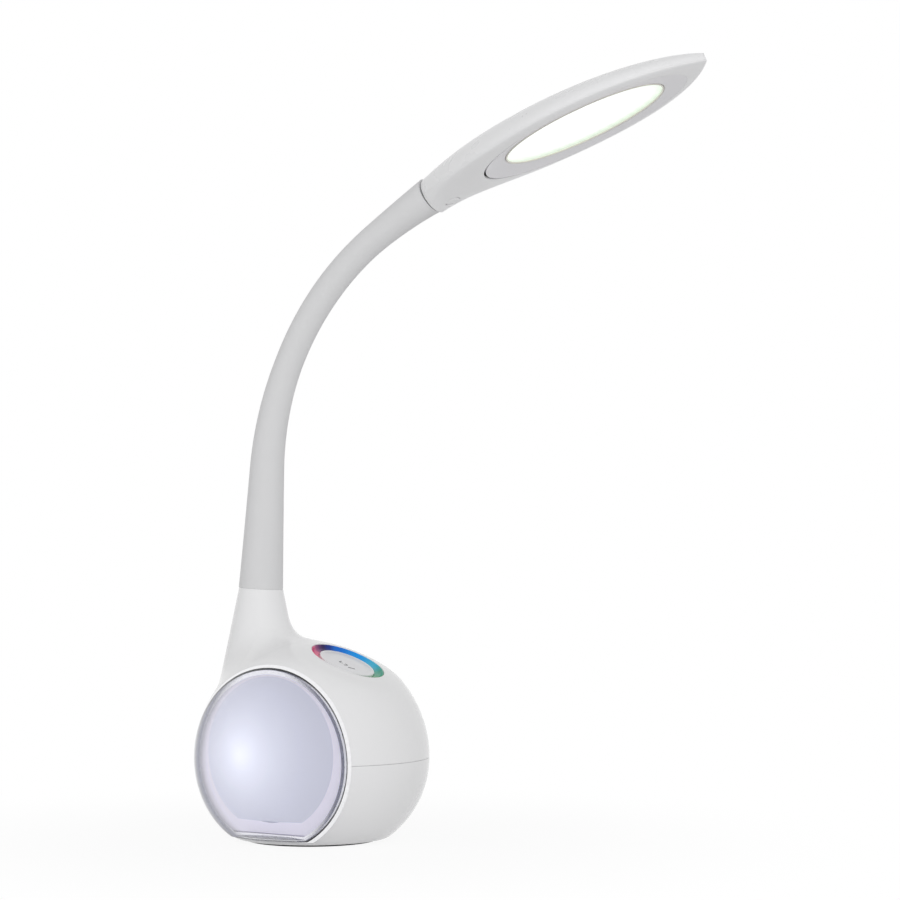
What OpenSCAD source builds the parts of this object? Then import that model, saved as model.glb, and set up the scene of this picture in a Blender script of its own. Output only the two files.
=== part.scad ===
// Desk lamp with a ball base, a domed mood light in the base's side, a touch
// panel on its top, a flexible neck and a slim leaf-shaped head.
// Millimetres, +Z up, +X towards the head, clear dome on the -Y side.
// The origin is the centre of the round pad that the lamp stands on.

/* [Ball base] */
// Radius of the ball
ball_r = 60; // [57:0.5:63]
// Height of the ball's centre above the desk
ball_z = 42; // [41:0.5:44]
// Wall thickness of the two base shells
wall = 2.4; // [2:0.1:2.8]
// Radius of the arc that draws in the lower half below the seam
belly_r = 50; // [49.5:0.5:51]
// Radius of the soft corner between the lower half and the flat bottom
corner_r = 6; // [5:0.5:7]
// How far the rubber pad stands below the lower shell
pad_proud = 1.2; // [0.8:0.1:1.6]

/* [Mood light] */
// Distance of the dome's parting plane from the ball's centre
dome_y = 35.4; // [35:0.1:36]
// Thickness of the bright rim ring between shell and dome
rim_t = 1.8; // [1.4:0.1:2]
// Wall thickness of the clear dome
dome_t = 2.6; // [2:0.1:3]
// Radius of the arc that draws in the dome and its rim below the seam
dome_belly_r = 54; // [53:0.5:55]
// Height of the dome's flat underside above the lower shell's bottom
dome_lift = 2.2; // [2:0.1:2.2]
// Radius of the frosted diffuser
diffuser_r = 38.5; // [37:0.5:39]
// Height of the diffuser's middle above the ball's centre
diffuser_rise = 4; // [3:0.5:4.5]
// How far the middle of the diffuser bulges out
diffuser_bulge = 10; // [8:0.5:12]
// Height, from the ball's centre, of the diffuser's straight lower edge
diffuser_low = -29; // [-30:0.5:-28]

/* [Touch panel] */
// Tilt of the touch panel from level towards the head, in degrees
touch_tilt = 24; // [22:1:28]
// Radius of the coloured touch ring
ring_r = 19.25; // [18.75:0.25:19.75]
// Radius of the white centre disc
disc_r = 14.7; // [14.2:0.1:15]
// Distance of the touch ring's face from the ball's centre
ring_h = 54.5; // [54:0.25:55]
// How far the disc's face lies below the ring's edge
disc_drop = 1.2; // [0.8:0.1:1.4]

/* [Neck] */
// Distance of the neck's foot behind the ball's centre
neck_x = 32.5; // [31:0.5:34]
// Height of the neck's seam above the ball's centre
neck_z = 85.7; // [84:0.1:87]
// Angle of the neck above level at its foot, in degrees
neck_lean = 86.5; // [85:0.5:88]
// Length of the neck's straight lower stretch
straight_l = 62; // [58:1:66]
// Radius of the neck's main bend
bend_r = 150; // [140:1:160]
// Length along the main bend
bend_l = 141; // [135:1:145]
// Radius of the gentle bend at the top of the neck
crown_r = 400; // [350:10:450]
// Length of the sleeve between the base seam and the head seam
sleeve_l = 240; // [238:1:242]
// Radius of the sleeve where it is slimmest
sleeve_r = 7.25; // [7:0.05:7.5]
// Radius that the sleeve gains down to the base seam
foot_flare = 4.2; // [3.5:0.1:4.5]
// Radius that the sleeve gains up to the head seam
head_flare = 2.1; // [1.5:0.1:2.3]
// Radius of the steel core inside the sleeve
core_r = 4.3; // [4.2:0.05:4.4]
// Distance along the neck from the base seam to the first joint
joint_first = 18; // [16:1:20]
// Distance along the neck from joint to joint
joint_step = 25; // [24.5:0.1:25]

/* [Head] */
// Distance of the light window's middle in front of the ball's centre
head_x = 159.3; // [159:0.1:160]
// Height of the light window's middle above the ball's centre
head_z = 312.8; // [312:0.1:313.5]
// Rise of the head towards its tip, in degrees
head_pitch = 20.6; // [20:0.1:21]
// Length from the window's middle back to the neck seam
head_back = 89; // [88:0.5:90]
// Length from the window's middle forward to the tip
head_front = 71; // [70:0.5:72]
// Height of the crown above the widest line
crown_h = 16.4; // [16:0.1:17]
// Wall thickness of the head's shell and cover
head_wall = 2; // [1.6:0.1:2.2]
// Half length of the light window
window_a = 44.5; // [43:0.5:45]
// Half width of the light window
window_b = 24; // [22:0.5:24]

/* [Hidden] */
$fn = 96;
gap = 0.3;
tiny = 0.05;
big = 200;

joint_count = 9;
sway_joints = [2, 4, 6, 8];
low_bend_joints = [1, 3];
low_bend_deg = 9;
high_bend_deg = 13;
sway_deg = 10;

shell_low = -ball_z + pad_proud;
floor_z = shell_low + wall;
belly_x = ball_r - belly_r;
inner_r = ball_r - wall;
rim_y = dome_y + rim_t;
rim_r = sqrt(ball_r * ball_r - dome_y * dome_y);
post_places = [[20, 26], [-20, 26], [0, -14]];
post_joint_z = -12;
jack_z = -12.9;
board_top = -18.4;

// ---------- the neck's curve: a straight, a main bend and a gentle bend ----------

// Angle of the neck above level at distance s along it
function neck_angle(s) =
    neck_lean
    - min(max(s - straight_l, 0), bend_l) / bend_r * 180 / PI
    - max(s - straight_l - bend_l, 0) / crown_r * 180 / PI;

// Step along an arc of radius r that starts at angle a and turns down by length l
function arc_step(a, r, l) =
    let (b = a - l / r * 180 / PI) [r * (sin(a) - sin(b)), 0, r * (cos(b) - cos(a))];

// Place of the neck's centre line at distance s along it, from the base seam
function neck_place(s) =
    [-neck_x, 0, ball_z + neck_z]
    + min(s, straight_l) * [cos(neck_lean), 0, sin(neck_lean)]
    + arc_step(neck_lean, bend_r, min(max(s - straight_l, 0), bend_l))
    + arc_step(neck_angle(straight_l + bend_l), crown_r, max(s - straight_l - bend_l, 0));

// Radius of the sleeve at distance s along the neck
function sleeve_radius(s) =
    sleeve_r
    + foot_flare * pow(max(1 - s / 120, 0), 1.3)
    + head_flare * pow(max(s - sleeve_l + 50, 0) / 50, 2);

function joint_s(k) = joint_first + joint_step * (k - 1);
function is_in(k, list) = len(search(k, list)) > 0;
function joint_range(k) =
    is_in(k, sway_joints) ? sway_deg : is_in(k, low_bend_joints) ? low_bend_deg : high_bend_deg;
// Half of the slot between two lengths of sleeve, so that they clear at the joint's limit
function half_slot(k) = sleeve_radius(joint_s(k)) * sin(joint_range(k)) / 2 + 0.25;

module at_neck(s) {
    translate(neck_place(s)) rotate([0, 90 - neck_angle(s), 0]) children();
}

// Frame at distance s0 whose +Z points at the centre line at distance s1
module along_neck(s0, s1) {
    v = neck_place(s1) - neck_place(s0);
    translate(neck_place(s0)) rotate([0, atan2(v.x, v.z), 0]) children();
}

function chord(s0, s1) = norm(neck_place(s1) - neck_place(s0));

module above_neck(s) { at_neck(s) translate([-big / 2, -big / 2, 0]) cube([big, big, big / 2]); }

ball_joint_r = 3.2;
socket_clear = 0.3;
socket_rim = 1.5;
stem_r = 1.9;
shoulder = 4.2;
wire_bore_r = 1.2;

// A length of steel core: a ball at its lower end, a socket for the next ball at its upper end
module core_length(s0, s1, ball = true, socket = true, extra = 0) {
    l = chord(s0, s1) + extra;
    along_neck(s0, s1) difference() {
        union() {
            if (ball) sphere(r = ball_joint_r);
            if (ball) cylinder(r = stem_r, h = shoulder + tiny);
            translate([0, 0, ball ? shoulder : 0])
                cylinder(r = core_r, h = l + (socket ? socket_rim : 0) - (ball ? shoulder : 0));
        }
        if (socket) translate([0, 0, l]) sphere(r = ball_joint_r + socket_clear);
        translate([0, 0, -5]) cylinder(r = wire_bore_r, h = l + 10);
    }
}

// A length of silicone sleeve, cut square to the neck at each joint
module sleeve_length(s0, s1, slot0, slot1, mouth = true) {
    l = chord(s0, s1);
    slope = (sleeve_radius(s1) - sleeve_radius(s0)) / l;
    over = 4;
    difference() {
        along_neck(s0, s1) translate([0, 0, -over])
            cylinder(r1 = sleeve_radius(s0) - slope * over, r2 = sleeve_radius(s1) + slope * over,
                     h = l + 2 * over);
        along_neck(s0, s1) translate([0, 0, -over - 1]) cylinder(r = core_r + tiny, h = l + 2 * over + 2);
        if (mouth) along_neck(s0, s1) translate([0, 0, -over]) cylinder(r = core_r + 1.3, h = over + 4.5);
        at_neck(s0) translate([-big / 2, -big / 2, slot0 - big]) cube([big, big, big]);
        at_neck(s1) translate([-big / 2, -big / 2, -slot1]) cube([big, big, big]);
    }
}

module neck_core_foot() {
    color("silver") core_length(-22, joint_s(1), ball = false);
}

module neck_sleeve_foot() {
    color("gainsboro") sleeve_length(0, joint_s(1), gap / 2, half_slot(1), mouth = false);
}

module neck_core(k) {
    color("silver") core_length(joint_s(k), joint_s(k + 1));
}

module neck_sleeve(k) {
    color("gainsboro") sleeve_length(joint_s(k), joint_s(k + 1), half_slot(k), half_slot(k + 1));
}

module neck_core_head() {
    color("silver") core_length(joint_s(joint_count), sleeve_l, socket = false, extra = 15);
}

module neck_sleeve_head() {
    color("gainsboro") sleeve_length(joint_s(joint_count), sleeve_l, half_slot(joint_count), gap / 2);
}

// ---------- the base ----------

module at_ball() { translate([0, 0, ball_z]) children(); }
// Frame whose +Z points out through the middle of the dome, with +Y up
module at_dome() { at_ball() rotate([90, 0, 0]) children(); }
module at_touch() { at_ball() rotate([0, touch_tilt, 0]) children(); }

module slab(z0, z1) { translate([-big / 2, -big / 2, z0]) cube([big, big, z1 - z0]); }

// Everything beyond the plane where the dome starts, less an optional offset
module dome_side(offset_y = 0) {
    translate([-big / 2, -big - dome_y + offset_y, -big / 2]) cube([big, big, big]);
}

dome_low = shell_low + dome_lift;
dome_corner_r = 1.2;

// Outline of a lower half, right of the ball's axis, smaller all round by inset
module belly_outline(inset, r = belly_r, c = corner_r, low = shell_low) {
    arc_r = r - inset;
    flat = low + inset;
    turn = asin((-flat - c) / (arc_r - c));
    corner_x = ball_r - r + (arc_r - c) * cos(turn);
    arc = [for (i = [0:10]) let (a = -turn * i / 10) [ball_r - r + arc_r * cos(a), arc_r * sin(a)]];
    corner = [for (i = [1:6]) let (a = -turn - (90 - turn) * i / 6)
        [corner_x + c * cos(a), flat + c + c * sin(a)]];
    polygon(concat([[0, 0]], arc, corner, [[0, flat]]));
}

// The dome's side of the base as one form, smaller all round by inset: a ball above the seam
module dome_form(inset) {
    intersection() {
        sphere(r = ball_r - inset);
        slab(0, big);
    }
    rotate_extrude() belly_outline(inset, dome_belly_r, dome_corner_r, dome_low);
}

socket_low = 15;
socket_low_r = 25.8;
socket_top_r = sleeve_radius(0) - 0.1;
collar_low = 70;

// The flared socket that rises from the back of the ball, smaller all round by inset
module neck_socket(low, high, inset) {
    slope = (socket_top_r - socket_low_r) / (neck_z - socket_low);
    translate([-neck_x, 0, low])
        cylinder(r1 = socket_low_r + slope * (low - socket_low) - inset,
                 r2 = socket_low_r + slope * (high - socket_low) - inset, h = high - low);
}

module posts(z0, z1, r) {
    for (p = post_places) translate([p.x, p.y, z0]) cylinder(r = r, h = z1 - z0);
}

pad_r = 33;
pad_sunk = 0.6;
plate_t = 2;
cup_r = ring_r + 2.6;
cup_floor = 49;
cup_face = 51;

// The hollow upper half with its neck socket
module upper_half() {
    at_ball() difference() {
        union() {
            intersection() {
                sphere(r = ball_r);
                slab(gap / 2, big);
            }
            neck_socket(socket_low, neck_z + 3, 0);
        }
        intersection() {
            sphere(r = inner_r);
            slab(-1, big);
        }
        neck_socket(20, collar_low, 2.6);
    }
}

// Cup under the opening that holds the touch panel
module touch_cup() {
    at_touch() rotate(17) difference() {
        translate([0, 0, cup_floor]) cylinder(r = cup_r, h = 5.6);
        translate([0, 0, cup_floor - 1]) cylinder(r = 5, h = 4);
    }
}

module upper_shell() {
    color("white") difference() {
        union() {
            upper_half();
            touch_cup();
            // posts for the screws that join the two shells
            intersection() {
                at_ball() posts(post_joint_z, ball_r, 3.8);
                at_ball() sphere(r = inner_r + 1);
            }
        }
        at_touch() rotate(40) translate([0, 0, cup_face]) cylinder(r = ring_r + 0.35, h = 20);
        at_ball() dome_side();
        at_ball() posts(post_joint_z - 1, post_joint_z + 14, 1.25);
        along_neck(-40, 40) translate([0, 0, 10]) cylinder(r = core_r + 0.15, h = 60);
        above_neck(-gap / 2);
    }
}

module lower_shell() {
    color("white") at_ball() difference() {
        union() {
            difference() {
                rotate_extrude() belly_outline(0);
                translate([0, 0, 1]) rotate_extrude() belly_outline(wall);
                rotate_extrude() belly_outline(wall);
                slab(-gap / 2, 5);
            }
            // lip inside the seam
            difference() {
                translate([0, 0, -6]) cylinder(r = inner_r - 0.2, h = 8);
                translate([0, 0, -7]) cylinder(r = inner_r - 1.8, h = 10);
                dome_side(plate_t + 0.4);
            }
            posts(shell_low + 1, post_joint_z - 0.2, 4.6);
            // boss behind the plug recess
            translate([-57, 0, jack_z]) rotate([0, 90, 0]) cylinder(r = 8, h = 6.5);
        }
        // room for the dome, which stands on the floor
        intersection() {
            dome_side();
            slab(dome_low - tiny, big);
        }
        posts(shell_low - 1, -17, 3.2);
        posts(shell_low - 1, 0, 1.65);
        translate([-70, 0, jack_z]) rotate([0, 90, 0]) cylinder(r = 8.5, h = 14);
        translate([-70, 0, jack_z]) rotate([0, 90, 0]) cylinder(r = 6, h = 17.5);
        translate([-70, 0, jack_z]) rotate([0, 90, 0]) cylinder(r = 5.2, h = 20);
        // recess for the rubber pad
        translate([0, 0, shell_low - 1]) cylinder(r = pad_r + 0.2, h = 1 + pad_sunk);
        slab(-big, shell_low);
    }
}

module base_pad() {
    color("dimgray") cylinder(r = pad_r, h = pad_proud + pad_sunk);
}

module shell_screws() {
    color("silver") at_ball() for (p = post_places) translate([p.x, p.y, -17]) {
        translate([0, 0, -2.2]) difference() {
            cylinder(r = 2.8, h = 2.2);
            translate([0, 0, -1]) cylinder(r = 1.2, h = 2.2, $fn = 6);
        }
        translate([0, 0, -tiny]) cylinder(r = 1.25, h = 12);
    }
}

module counterweight() {
    color("slategray") at_ball() difference() {
        translate([0, 0, floor_z]) cylinder(r = 35.5, h = 12);
        posts(shell_low, 0, 5);
        translate([-big / 2, -big - 18.2, -big / 2]) cube([big, big, big]);
    }
}

weight_top = floor_z + 12;
board_x = [-44, -4];
board_y = [-8, 20];
board_t = 1.6;

module at_board_corners() {
    for (x = [board_x[0] + 12, board_x[1] - 3]) for (y = [board_y[0] + 3, board_y[1] - 3])
        translate([x, y, 0]) children();
}

module board_spacers() {
    color("ivory") at_ball() at_board_corners() difference() {
        translate([0, 0, weight_top]) cylinder(r = 2.4, h = board_top - board_t - weight_top);
        translate([0, 0, weight_top - 1]) cylinder(r = 1.05, h = 12);
    }
}

module board_screws() {
    color("silver") at_ball() at_board_corners() {
        translate([0, 0, board_top]) cylinder(r = 2, h = 1.3);
        translate([0, 0, board_top - 5]) cylinder(r = 1, h = 5 + tiny);
    }
}

module main_board() {
    color("seagreen") at_ball() difference() {
        translate([board_x[0], board_y[0], board_top - board_t])
            cube([board_x[1] - board_x[0], board_y[1] - board_y[0], board_t]);
        at_board_corners() translate([0, 0, board_top - 3]) cylinder(r = 1.1, h = 5);
    }
}

module main_board_parts() {
    color("black") at_ball() translate([0, 0, board_top]) {
        translate([-22, 2, 0]) cube([8, 6, 1.6]);
        translate([-24, 10, 0]) cube([5, 4, 1.5]);
        translate([-14, 12, 0]) cylinder(r = 3.2, h = 8);
        translate([-13, -3.5, 0]) cube([4, 4, 2.5]);
        translate([-36, 10.5, 0]) cylinder(r = 3.2, h = 8);
        translate([-11, 3, 0]) cube([5, 7, 3.5]);
    }
}

// Power socket on the board's rear edge, with a round nose that ends in the recess
module dc_jack() {
    color("black") at_ball() difference() {
        union() {
            translate([-49.8, -4.5, board_top]) cube([12, 9, 11]);
            translate([-52.5, 0, jack_z]) rotate([0, 90, 0]) cylinder(r = 5, h = 4);
        }
        translate([-53, 0, jack_z]) rotate([0, 90, 0]) cylinder(r = 3.15, h = 11.5);
    }
}

module dc_jack_pin() {
    color("silver") at_ball() translate([-50.5, 0, jack_z]) rotate([0, 90, 0]) {
        sphere(r = 1);
        cylinder(r = 1, h = 9);
    }
}

// A round lead that runs straight from point to point
module lead(points, r) {
    for (i = [0:len(points) - 2]) {
        v = points[i + 1] - points[i];
        translate(points[i]) rotate([0, acos(v.z / norm(v)), atan2(v.y, v.x)]) cylinder(r = r, h = norm(v));
        if (i > 0) translate(points[i]) sphere(r = r * 1.1);
    }
}

module base_leads() {
    foot = neck_place(-22) - [0, 0, ball_z];
    color("dimgray") at_ball() {
        lead([[-17, 17, board_top + 0.1], [-20, 12, 0], [-31, 0, 30], [foot.x, 0, foot.z - 6], foot + [0, 0, 4]], 1);
        lead([[-8, 12, board_top + 0.5], [-2, 14, 10], [10, 6, 35], [18.6, 0, 42.4]], 1);
        lead([[-12, -6, board_top + 0.7], [-10, -12, -12], [-8, -17, -4], [-6, -19.6, 0]], 1);
    }
}

// ---------- the mood light, on the dome's axis ----------

module dome_cover() {
    color("lightsteelblue", 0.45) at_ball() intersection() {
        difference() {
            dome_form(0);
            dome_form(dome_t);
        }
        dome_side(-rim_t - tiny);
    }
}

rim_w = 3;
rim_proud = 0.2;
flange_low = -33;

module rim_ring() {
    color("silver") at_ball() difference() {
        intersection() {
            dome_form(-rim_proud);
            dome_side();
            slab(dome_low, big);
        }
        dome_form(rim_w);
        dome_side(-rim_t);
    }
}

module mood_diffuser() {
    curve_r = (pow(diffuser_r, 2) + pow(diffuser_bulge, 2)) / (2 * diffuser_bulge);
    apex = rim_y - 0.6 + diffuser_bulge;
    color("lavender") intersection() {
        at_dome() difference() {
            union() {
                intersection() {
                    translate([0, diffuser_rise, apex - curve_r]) sphere(r = curve_r);
                    translate([0, diffuser_rise, dome_y]) cylinder(r = diffuser_r, h = 20);
                    translate([-big, diffuser_low, dome_y]) cube([2 * big, big, 20]);
                }
                translate([0, 0, dome_y]) cylinder(r = rim_r - rim_w - 1, h = 1.2);
            }
            translate([0, diffuser_rise, apex - curve_r]) sphere(r = curve_r - 1.8);
        }
        at_ball() dome_form(rim_w + gap);
        at_ball() slab(flange_low, big);
    }
}

mood_cup_r = 33;
mood_cup_back_r = 27;
mood_cup_back = 22;

module mood_reflector() {
    color("white") at_dome() difference() {
        union() {
            intersection() {
                translate([0, 0, dome_y - plate_t]) cylinder(r = rim_r, h = plate_t);
                rotate([-90, 0, 0]) union() {
                    intersection() {
                        sphere(r = inner_r - gap);
                        slab(0, big);
                    }
                    rotate_extrude() belly_outline(wall + gap);
                }
            }
            translate([0, 0, mood_cup_back])
                cylinder(r1 = mood_cup_back_r, r2 = mood_cup_r, h = dome_y - 1 - mood_cup_back);
        }
        translate([0, 0, mood_cup_back])
            cylinder(r1 = mood_cup_back_r - 1.5, r2 = mood_cup_r - 1.5, h = dome_y - 1 - mood_cup_back);
        translate([0, 0, mood_cup_back - 1]) cylinder(r = mood_cup_back_r - 1.6, h = 2);
        translate([0, 0, dome_y - 1.1]) cylinder(r = mood_cup_r - 1.5, h = 3);
    }
}

module mood_board() {
    color("seagreen") at_dome() translate([0, 0, mood_cup_back - 1.6]) cylinder(r = mood_cup_back_r, h = 1.6);
}

module mood_leds() {
    color("white") at_dome() translate([0, 0, mood_cup_back]) {
        translate([-2.5, -2.5, 0]) cube([5, 5, 1.6]);
        for (a = [0:60:300]) rotate([0, 0, a]) translate([14, -2.5, 0]) cube([5, 5, 1.6]);
    }
}

// ---------- the touch panel, on its own tilted axis ----------

channel_w = ring_r - disc_r - 0.6;
channel_deep = 2.4;

module touch_ring() {
    color("royalblue") at_touch() difference() {
        translate([0, 0, cup_face]) cylinder(r = ring_r, h = ring_h - cup_face);
        translate([0, 0, cup_face - 1]) cylinder(r = disc_r + 0.25, h = 10);
        rotate_extrude() translate([disc_r, ring_h]) scale([1, channel_deep / channel_w]) circle(r = channel_w);
    }
}

disc_h = ring_h - disc_drop - cup_face;

module touch_disc() {
    color("white") at_touch() {
        translate([0, 0, cup_face]) cylinder(r = disc_r, h = disc_h - 0.5);
        translate([0, 0, cup_face + disc_h - 0.5]) cylinder(r1 = disc_r, r2 = disc_r - 0.5, h = 0.5);
    }
}

module touch_board() {
    color("seagreen") at_touch() difference() {
        translate([0, 0, cup_floor - 1.6]) cylinder(r = 19, h = 1.6);
        translate([0, 0, cup_floor - 3]) cylinder(r = 1.5, h = 5);
    }
}

module neck_washer() {
    color("silver") along_neck(-40, 40) translate([0, 0, neck_washer_z]) difference() {
        cylinder(r = 9, h = 1.2);
        translate([0, 0, -1]) cylinder(r = core_r + 0.15, h = 4);
    }
}

// Washer and nut sit square on the neck's axis, under the socket's solid collar
neck_washer_z = 40 - (neck_z - collar_low) - 1.9;

module neck_nut() {
    color("goldenrod") along_neck(-40, 40) translate([0, 0, neck_washer_z - 5]) difference() {
        cylinder(r = 8, h = 5, $fn = 6);
        translate([0, 0, -1]) cylinder(r = core_r + tiny, h = 8);
    }
}

// ---------- the head: sections across its length, from the neck seam to the tip ----------

module at_head() {
    translate([head_x, 0, ball_z + head_z]) rotate([0, -head_pitch, 0]) children();
}

root_w = 9.3;
root_rise = 2.2;
root_tilt = 6.5;
shoulder_s = -40;
edge_drop = 1.3;
side_points = 16;
stations = 30;

function bezier(p, t) =
    pow(1 - t, 3) * p[0] + 3 * t * pow(1 - t, 2) * p[1] + 3 * t * t * (1 - t) * p[2] + pow(t, 3) * p[3];

// Plan of the head: [distance along it, half width]
head_plan = [[-head_back, root_w], [-39, 38.4], [37, 51], [head_front, 0]];
function head_station(i) = bezier(head_plan, 0.985 * i / stations);

// 0 in front of the shoulder, growing to 1 at the neck seam
function rear_share(s) = max(shoulder_s - s, 0) / (head_back + shoulder_s);
function widest_z(s) = root_rise * pow(rear_share(s), 2);
function top_h(s) =
    s < shoulder_s ? crown_h - (crown_h - root_w) * pow(rear_share(s), 2)
                   : crown_h * pow(1 - pow((s - shoulder_s) / (head_front - shoulder_s + 2.5), 2), 0.56);
function bottom_h(s) = edge_drop + (root_w - edge_drop) * pow(rear_share(s), 2.9);
function roundness(s) = 2 + 2 * (1 - rear_share(s));

// A point of a section: a above 0 is the top, below 0 the flatter underside
function section_point(s, w, top, bottom, a) =
    let (
        n = a >= 0 ? 2 : roundness(s),
        y = w * sign(cos(a)) * pow(abs(cos(a)), 2 / n),
        dz = a >= 0 ? top * sin(a) : -bottom * pow(abs(sin(a)), 2 / n)
    )
    [s - dz * tan(root_tilt * rear_share(s)), y, widest_z(s) + dz];

// One closed skin through loops of equal length, each an outer arc and then an inner arc back
module loft(loops) {
    n = len(loops[0]);
    m = len(loops);
    points = [for (l = loops) each l];
    sides = [for (i = [0:m - 2]) for (j = [0:n - 1]) let (a = i * n + j, b = i * n + (j + 1) % n)
        each [[a, a + n, b], [b, a + n, b + n]]];
    last = (m - 1) * n;
    ends = [for (j = [0:n / 2 - 2]) let (a = j, b = j + 1, c = n - 2 - j, d = n - 1 - j)
        each [[a, b, c], [a, c, d], [last + a, last + c, last + b], [last + a, last + d, last + c]]];
    polyhedron(points, concat(sides, ends));
}

// Half the head as a shell: from = 0 is the top half, from = -180 the underside
function half_loop(s, w, out, inn, from) = concat(
    [for (j = [0:side_points]) let (a = from + 180 * j / side_points) section_point(s, w, out, out, a)],
    [for (j = [side_points:-1:0]) let (a = from + 180 * j / side_points)
        section_point(s, max(w - head_wall, 0.35 * w), inn, inn, a)]
);

module oval(a, b, shift = 0) {
    polygon([for (i = [0:63]) [shift + a * cos(i * 360 / 64), b * sin(i * 360 / 64)]]);
}

frame_a = 58.5;
frame_b = 29.5;
frame_shift = -4.5;
rear_screw_s = -81.5;
plug_z = -5.1;
cover_screws = [[-55, 10], [-55, -10]];

module head_shell() {
    color("white") at_head() difference() {
        union() {
            loft([for (i = [0:stations]) let (p = head_station(i), h = top_h(p[0]))
                half_loop(p[0], p[1], h, max(h - head_wall, 0.35 * h), 0)]);
            for (p = cover_screws) translate([p.x, p.y, 1.6]) cylinder(r = 2.8, h = 11.5, $fn = 32);
        }
        for (p = cover_screws) translate([p.x, p.y, 0]) cylinder(r = 1, h = 9, $fn = 24);
    }
}

cover_inset = 0.4;
ledge_top = 1.2;

module head_cover() {
    color("gainsboro") at_head() difference() {
        union() {
            translate([0, 0, -0.2]) loft([for (i = [0:stations]) let (p = head_station(i), h = bottom_h(p[0]))
                half_loop(p[0], p[1] * (1 - cover_inset / 30), h, max(h - head_wall, 0.1), -180)]);
            translate([0, 0, -1.4]) linear_extrude(ledge_top + 1.4) oval(frame_a + 1.5, frame_b - 0.8, frame_shift);
            translate([rear_screw_s, 0, plug_z + 1]) cylinder(r = 4.4, h = 2.3, $fn = 32);
        }
        translate([0, 0, -20]) linear_extrude(19) oval(frame_a + 0.4, frame_b + 0.4, frame_shift);
        translate([0, 0, -20]) linear_extrude(30) oval(window_a + 1.2, window_b + 1.2);
        for (p = cover_screws) translate([p.x, p.y, -5]) cylinder(r = 1.15, h = 10, $fn = 24);
        translate([rear_screw_s, 0, -10]) cylinder(r = 1.2, h = 14, $fn = 24);
        translate([rear_screw_s, 0, plug_z - 6]) cylinder(r = 3.9, h = 6.9, $fn = 48);
        translate([rear_screw_s, 0, plug_z - 6]) cylinder(r = 2.9, h = 8.4, $fn = 48);
    }
}

// A ring whose section, [outward growth, height], follows the oval round
module oval_ring(section) {
    n = len(section);
    steps = 64;
    points = [for (i = [0:steps - 1]) for (p = section)
        let (a = i * 360 / steps, t = p[2])
        [(1 - t) * (window_a + p[0]) * cos(a) + t * (frame_shift + (frame_a + p[0]) * cos(a)),
         (1 - t) * (window_b + p[0]) * sin(a) + t * (frame_b + p[0]) * sin(a), p[1]]];
    faces = [for (i = [0:steps - 1]) for (j = [0:n - 1])
        let (a = i * n + j, b = i * n + (j + 1) % n, c = ((i + 1) % steps) * n + j,
             d = ((i + 1) % steps) * n + (j + 1) % n)
        each [[a, c, b], [b, c, d]]];
    polyhedron(points, faces);
}

// The dished frame round the window: third value 1 is the frame's outline, 0 the window's
module light_frame() {
    color("gainsboro") at_head()
        oval_ring([[0, -2, 1], [0, -1.1, 1], [0.9, -1.1, 0], [0.9, 0.6, 0], [0.1, 0.6, 0], [0.1, -1.55, 0]]);
}

module window_rim() {
    color("ivory") at_head()
        oval_ring([[0, -1.65, 0], [0, 0.6, 0], [-0.9, 0.6, 0], [-0.9, -1.65, 0]]);
}

// Milky panel, with a step that fills the window
module light_panel() {
    color("white") at_head() {
        translate([0, 0, 0.65]) linear_extrude(2) oval(window_a + 0.5, window_b + 0.5);
        translate([0, 0, -1.2]) linear_extrude(1.9) oval(window_a - 1.2, window_b - 1.2);
    }
}

board_a = 40;
board_b = 20;

module led_tray() {
    color("white") at_head() translate([0, 0, 2.65]) linear_extrude(1.6) difference() {
        oval(window_a + 0.3, window_b + 0.3);
        oval(board_a - 1.5, board_b - 1.5);
    }
}

module led_board() {
    color("whitesmoke") at_head() translate([0, 0, 4.25]) linear_extrude(1) oval(board_a, board_b);
}

module led_chips() {
    color("khaki") at_head() for (row = [-1:1]) for (i = [-5.5:5.5])
        if (pow(i * 6 / (board_a - 3), 2) + pow(row * 9.5 / (board_b - 3), 2) < 1)
            translate([i * 6 - 1.4, row * 9.5 - 1.75, 3.45]) cube([2.8, 3.5, 0.8]);
}

module heat_spreader() {
    color("silver") at_head() translate([0, 0, 5.25]) linear_extrude(1.2) oval(board_a - 1, board_b - 1);
}

// Collar that grips the steel core inside the head's root
module neck_clamp() {
    color("dimgray") difference() {
        at_neck(sleeve_l) translate([0, 0, 3.5]) cylinder(r = 5.6, h = 11.5);
        along_neck(joint_s(joint_count), sleeve_l) cylinder(r = core_r + tiny, h = 60);
        at_head() translate([rear_screw_s, 0, -10]) cylinder(r = 1.05, h = 11);
        at_head() translate([rear_screw_s, 0, -12]) cylinder(r = 4.6, h = 11);
    }
}

module head_screws() {
    color("silver") at_head() {
        translate([rear_screw_s, 0, plug_z + 0.95]) {
            cylinder(r = 2.6, h = 1.4);
            cylinder(r = 1, h = 4.1);
        }
        for (p = cover_screws) translate([p.x, p.y, -1]) {
            translate([0, 0, tiny]) cylinder(r = 0.95, h = 8.5);
            translate([0, 0, 0]) cylinder(r = 1.1, h = 1);
        }
    }
}

module screw_plug() {
    color("gainsboro") at_head() translate([rear_screw_s, 0, plug_z]) difference() {
        cylinder(r = 3.7, h = 0.85);
        translate([0, 0, -10.7]) sphere(r = 11);
    }
}

module head_leads() {
    tail = [-71.5, 0, 5.3];
    color("dimgray") at_head() {
        lead([tail, [-62, 3, 4], [-50, 6, 7.5], [-34, 6, 7.5]], 0.9);
    }
}

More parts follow.
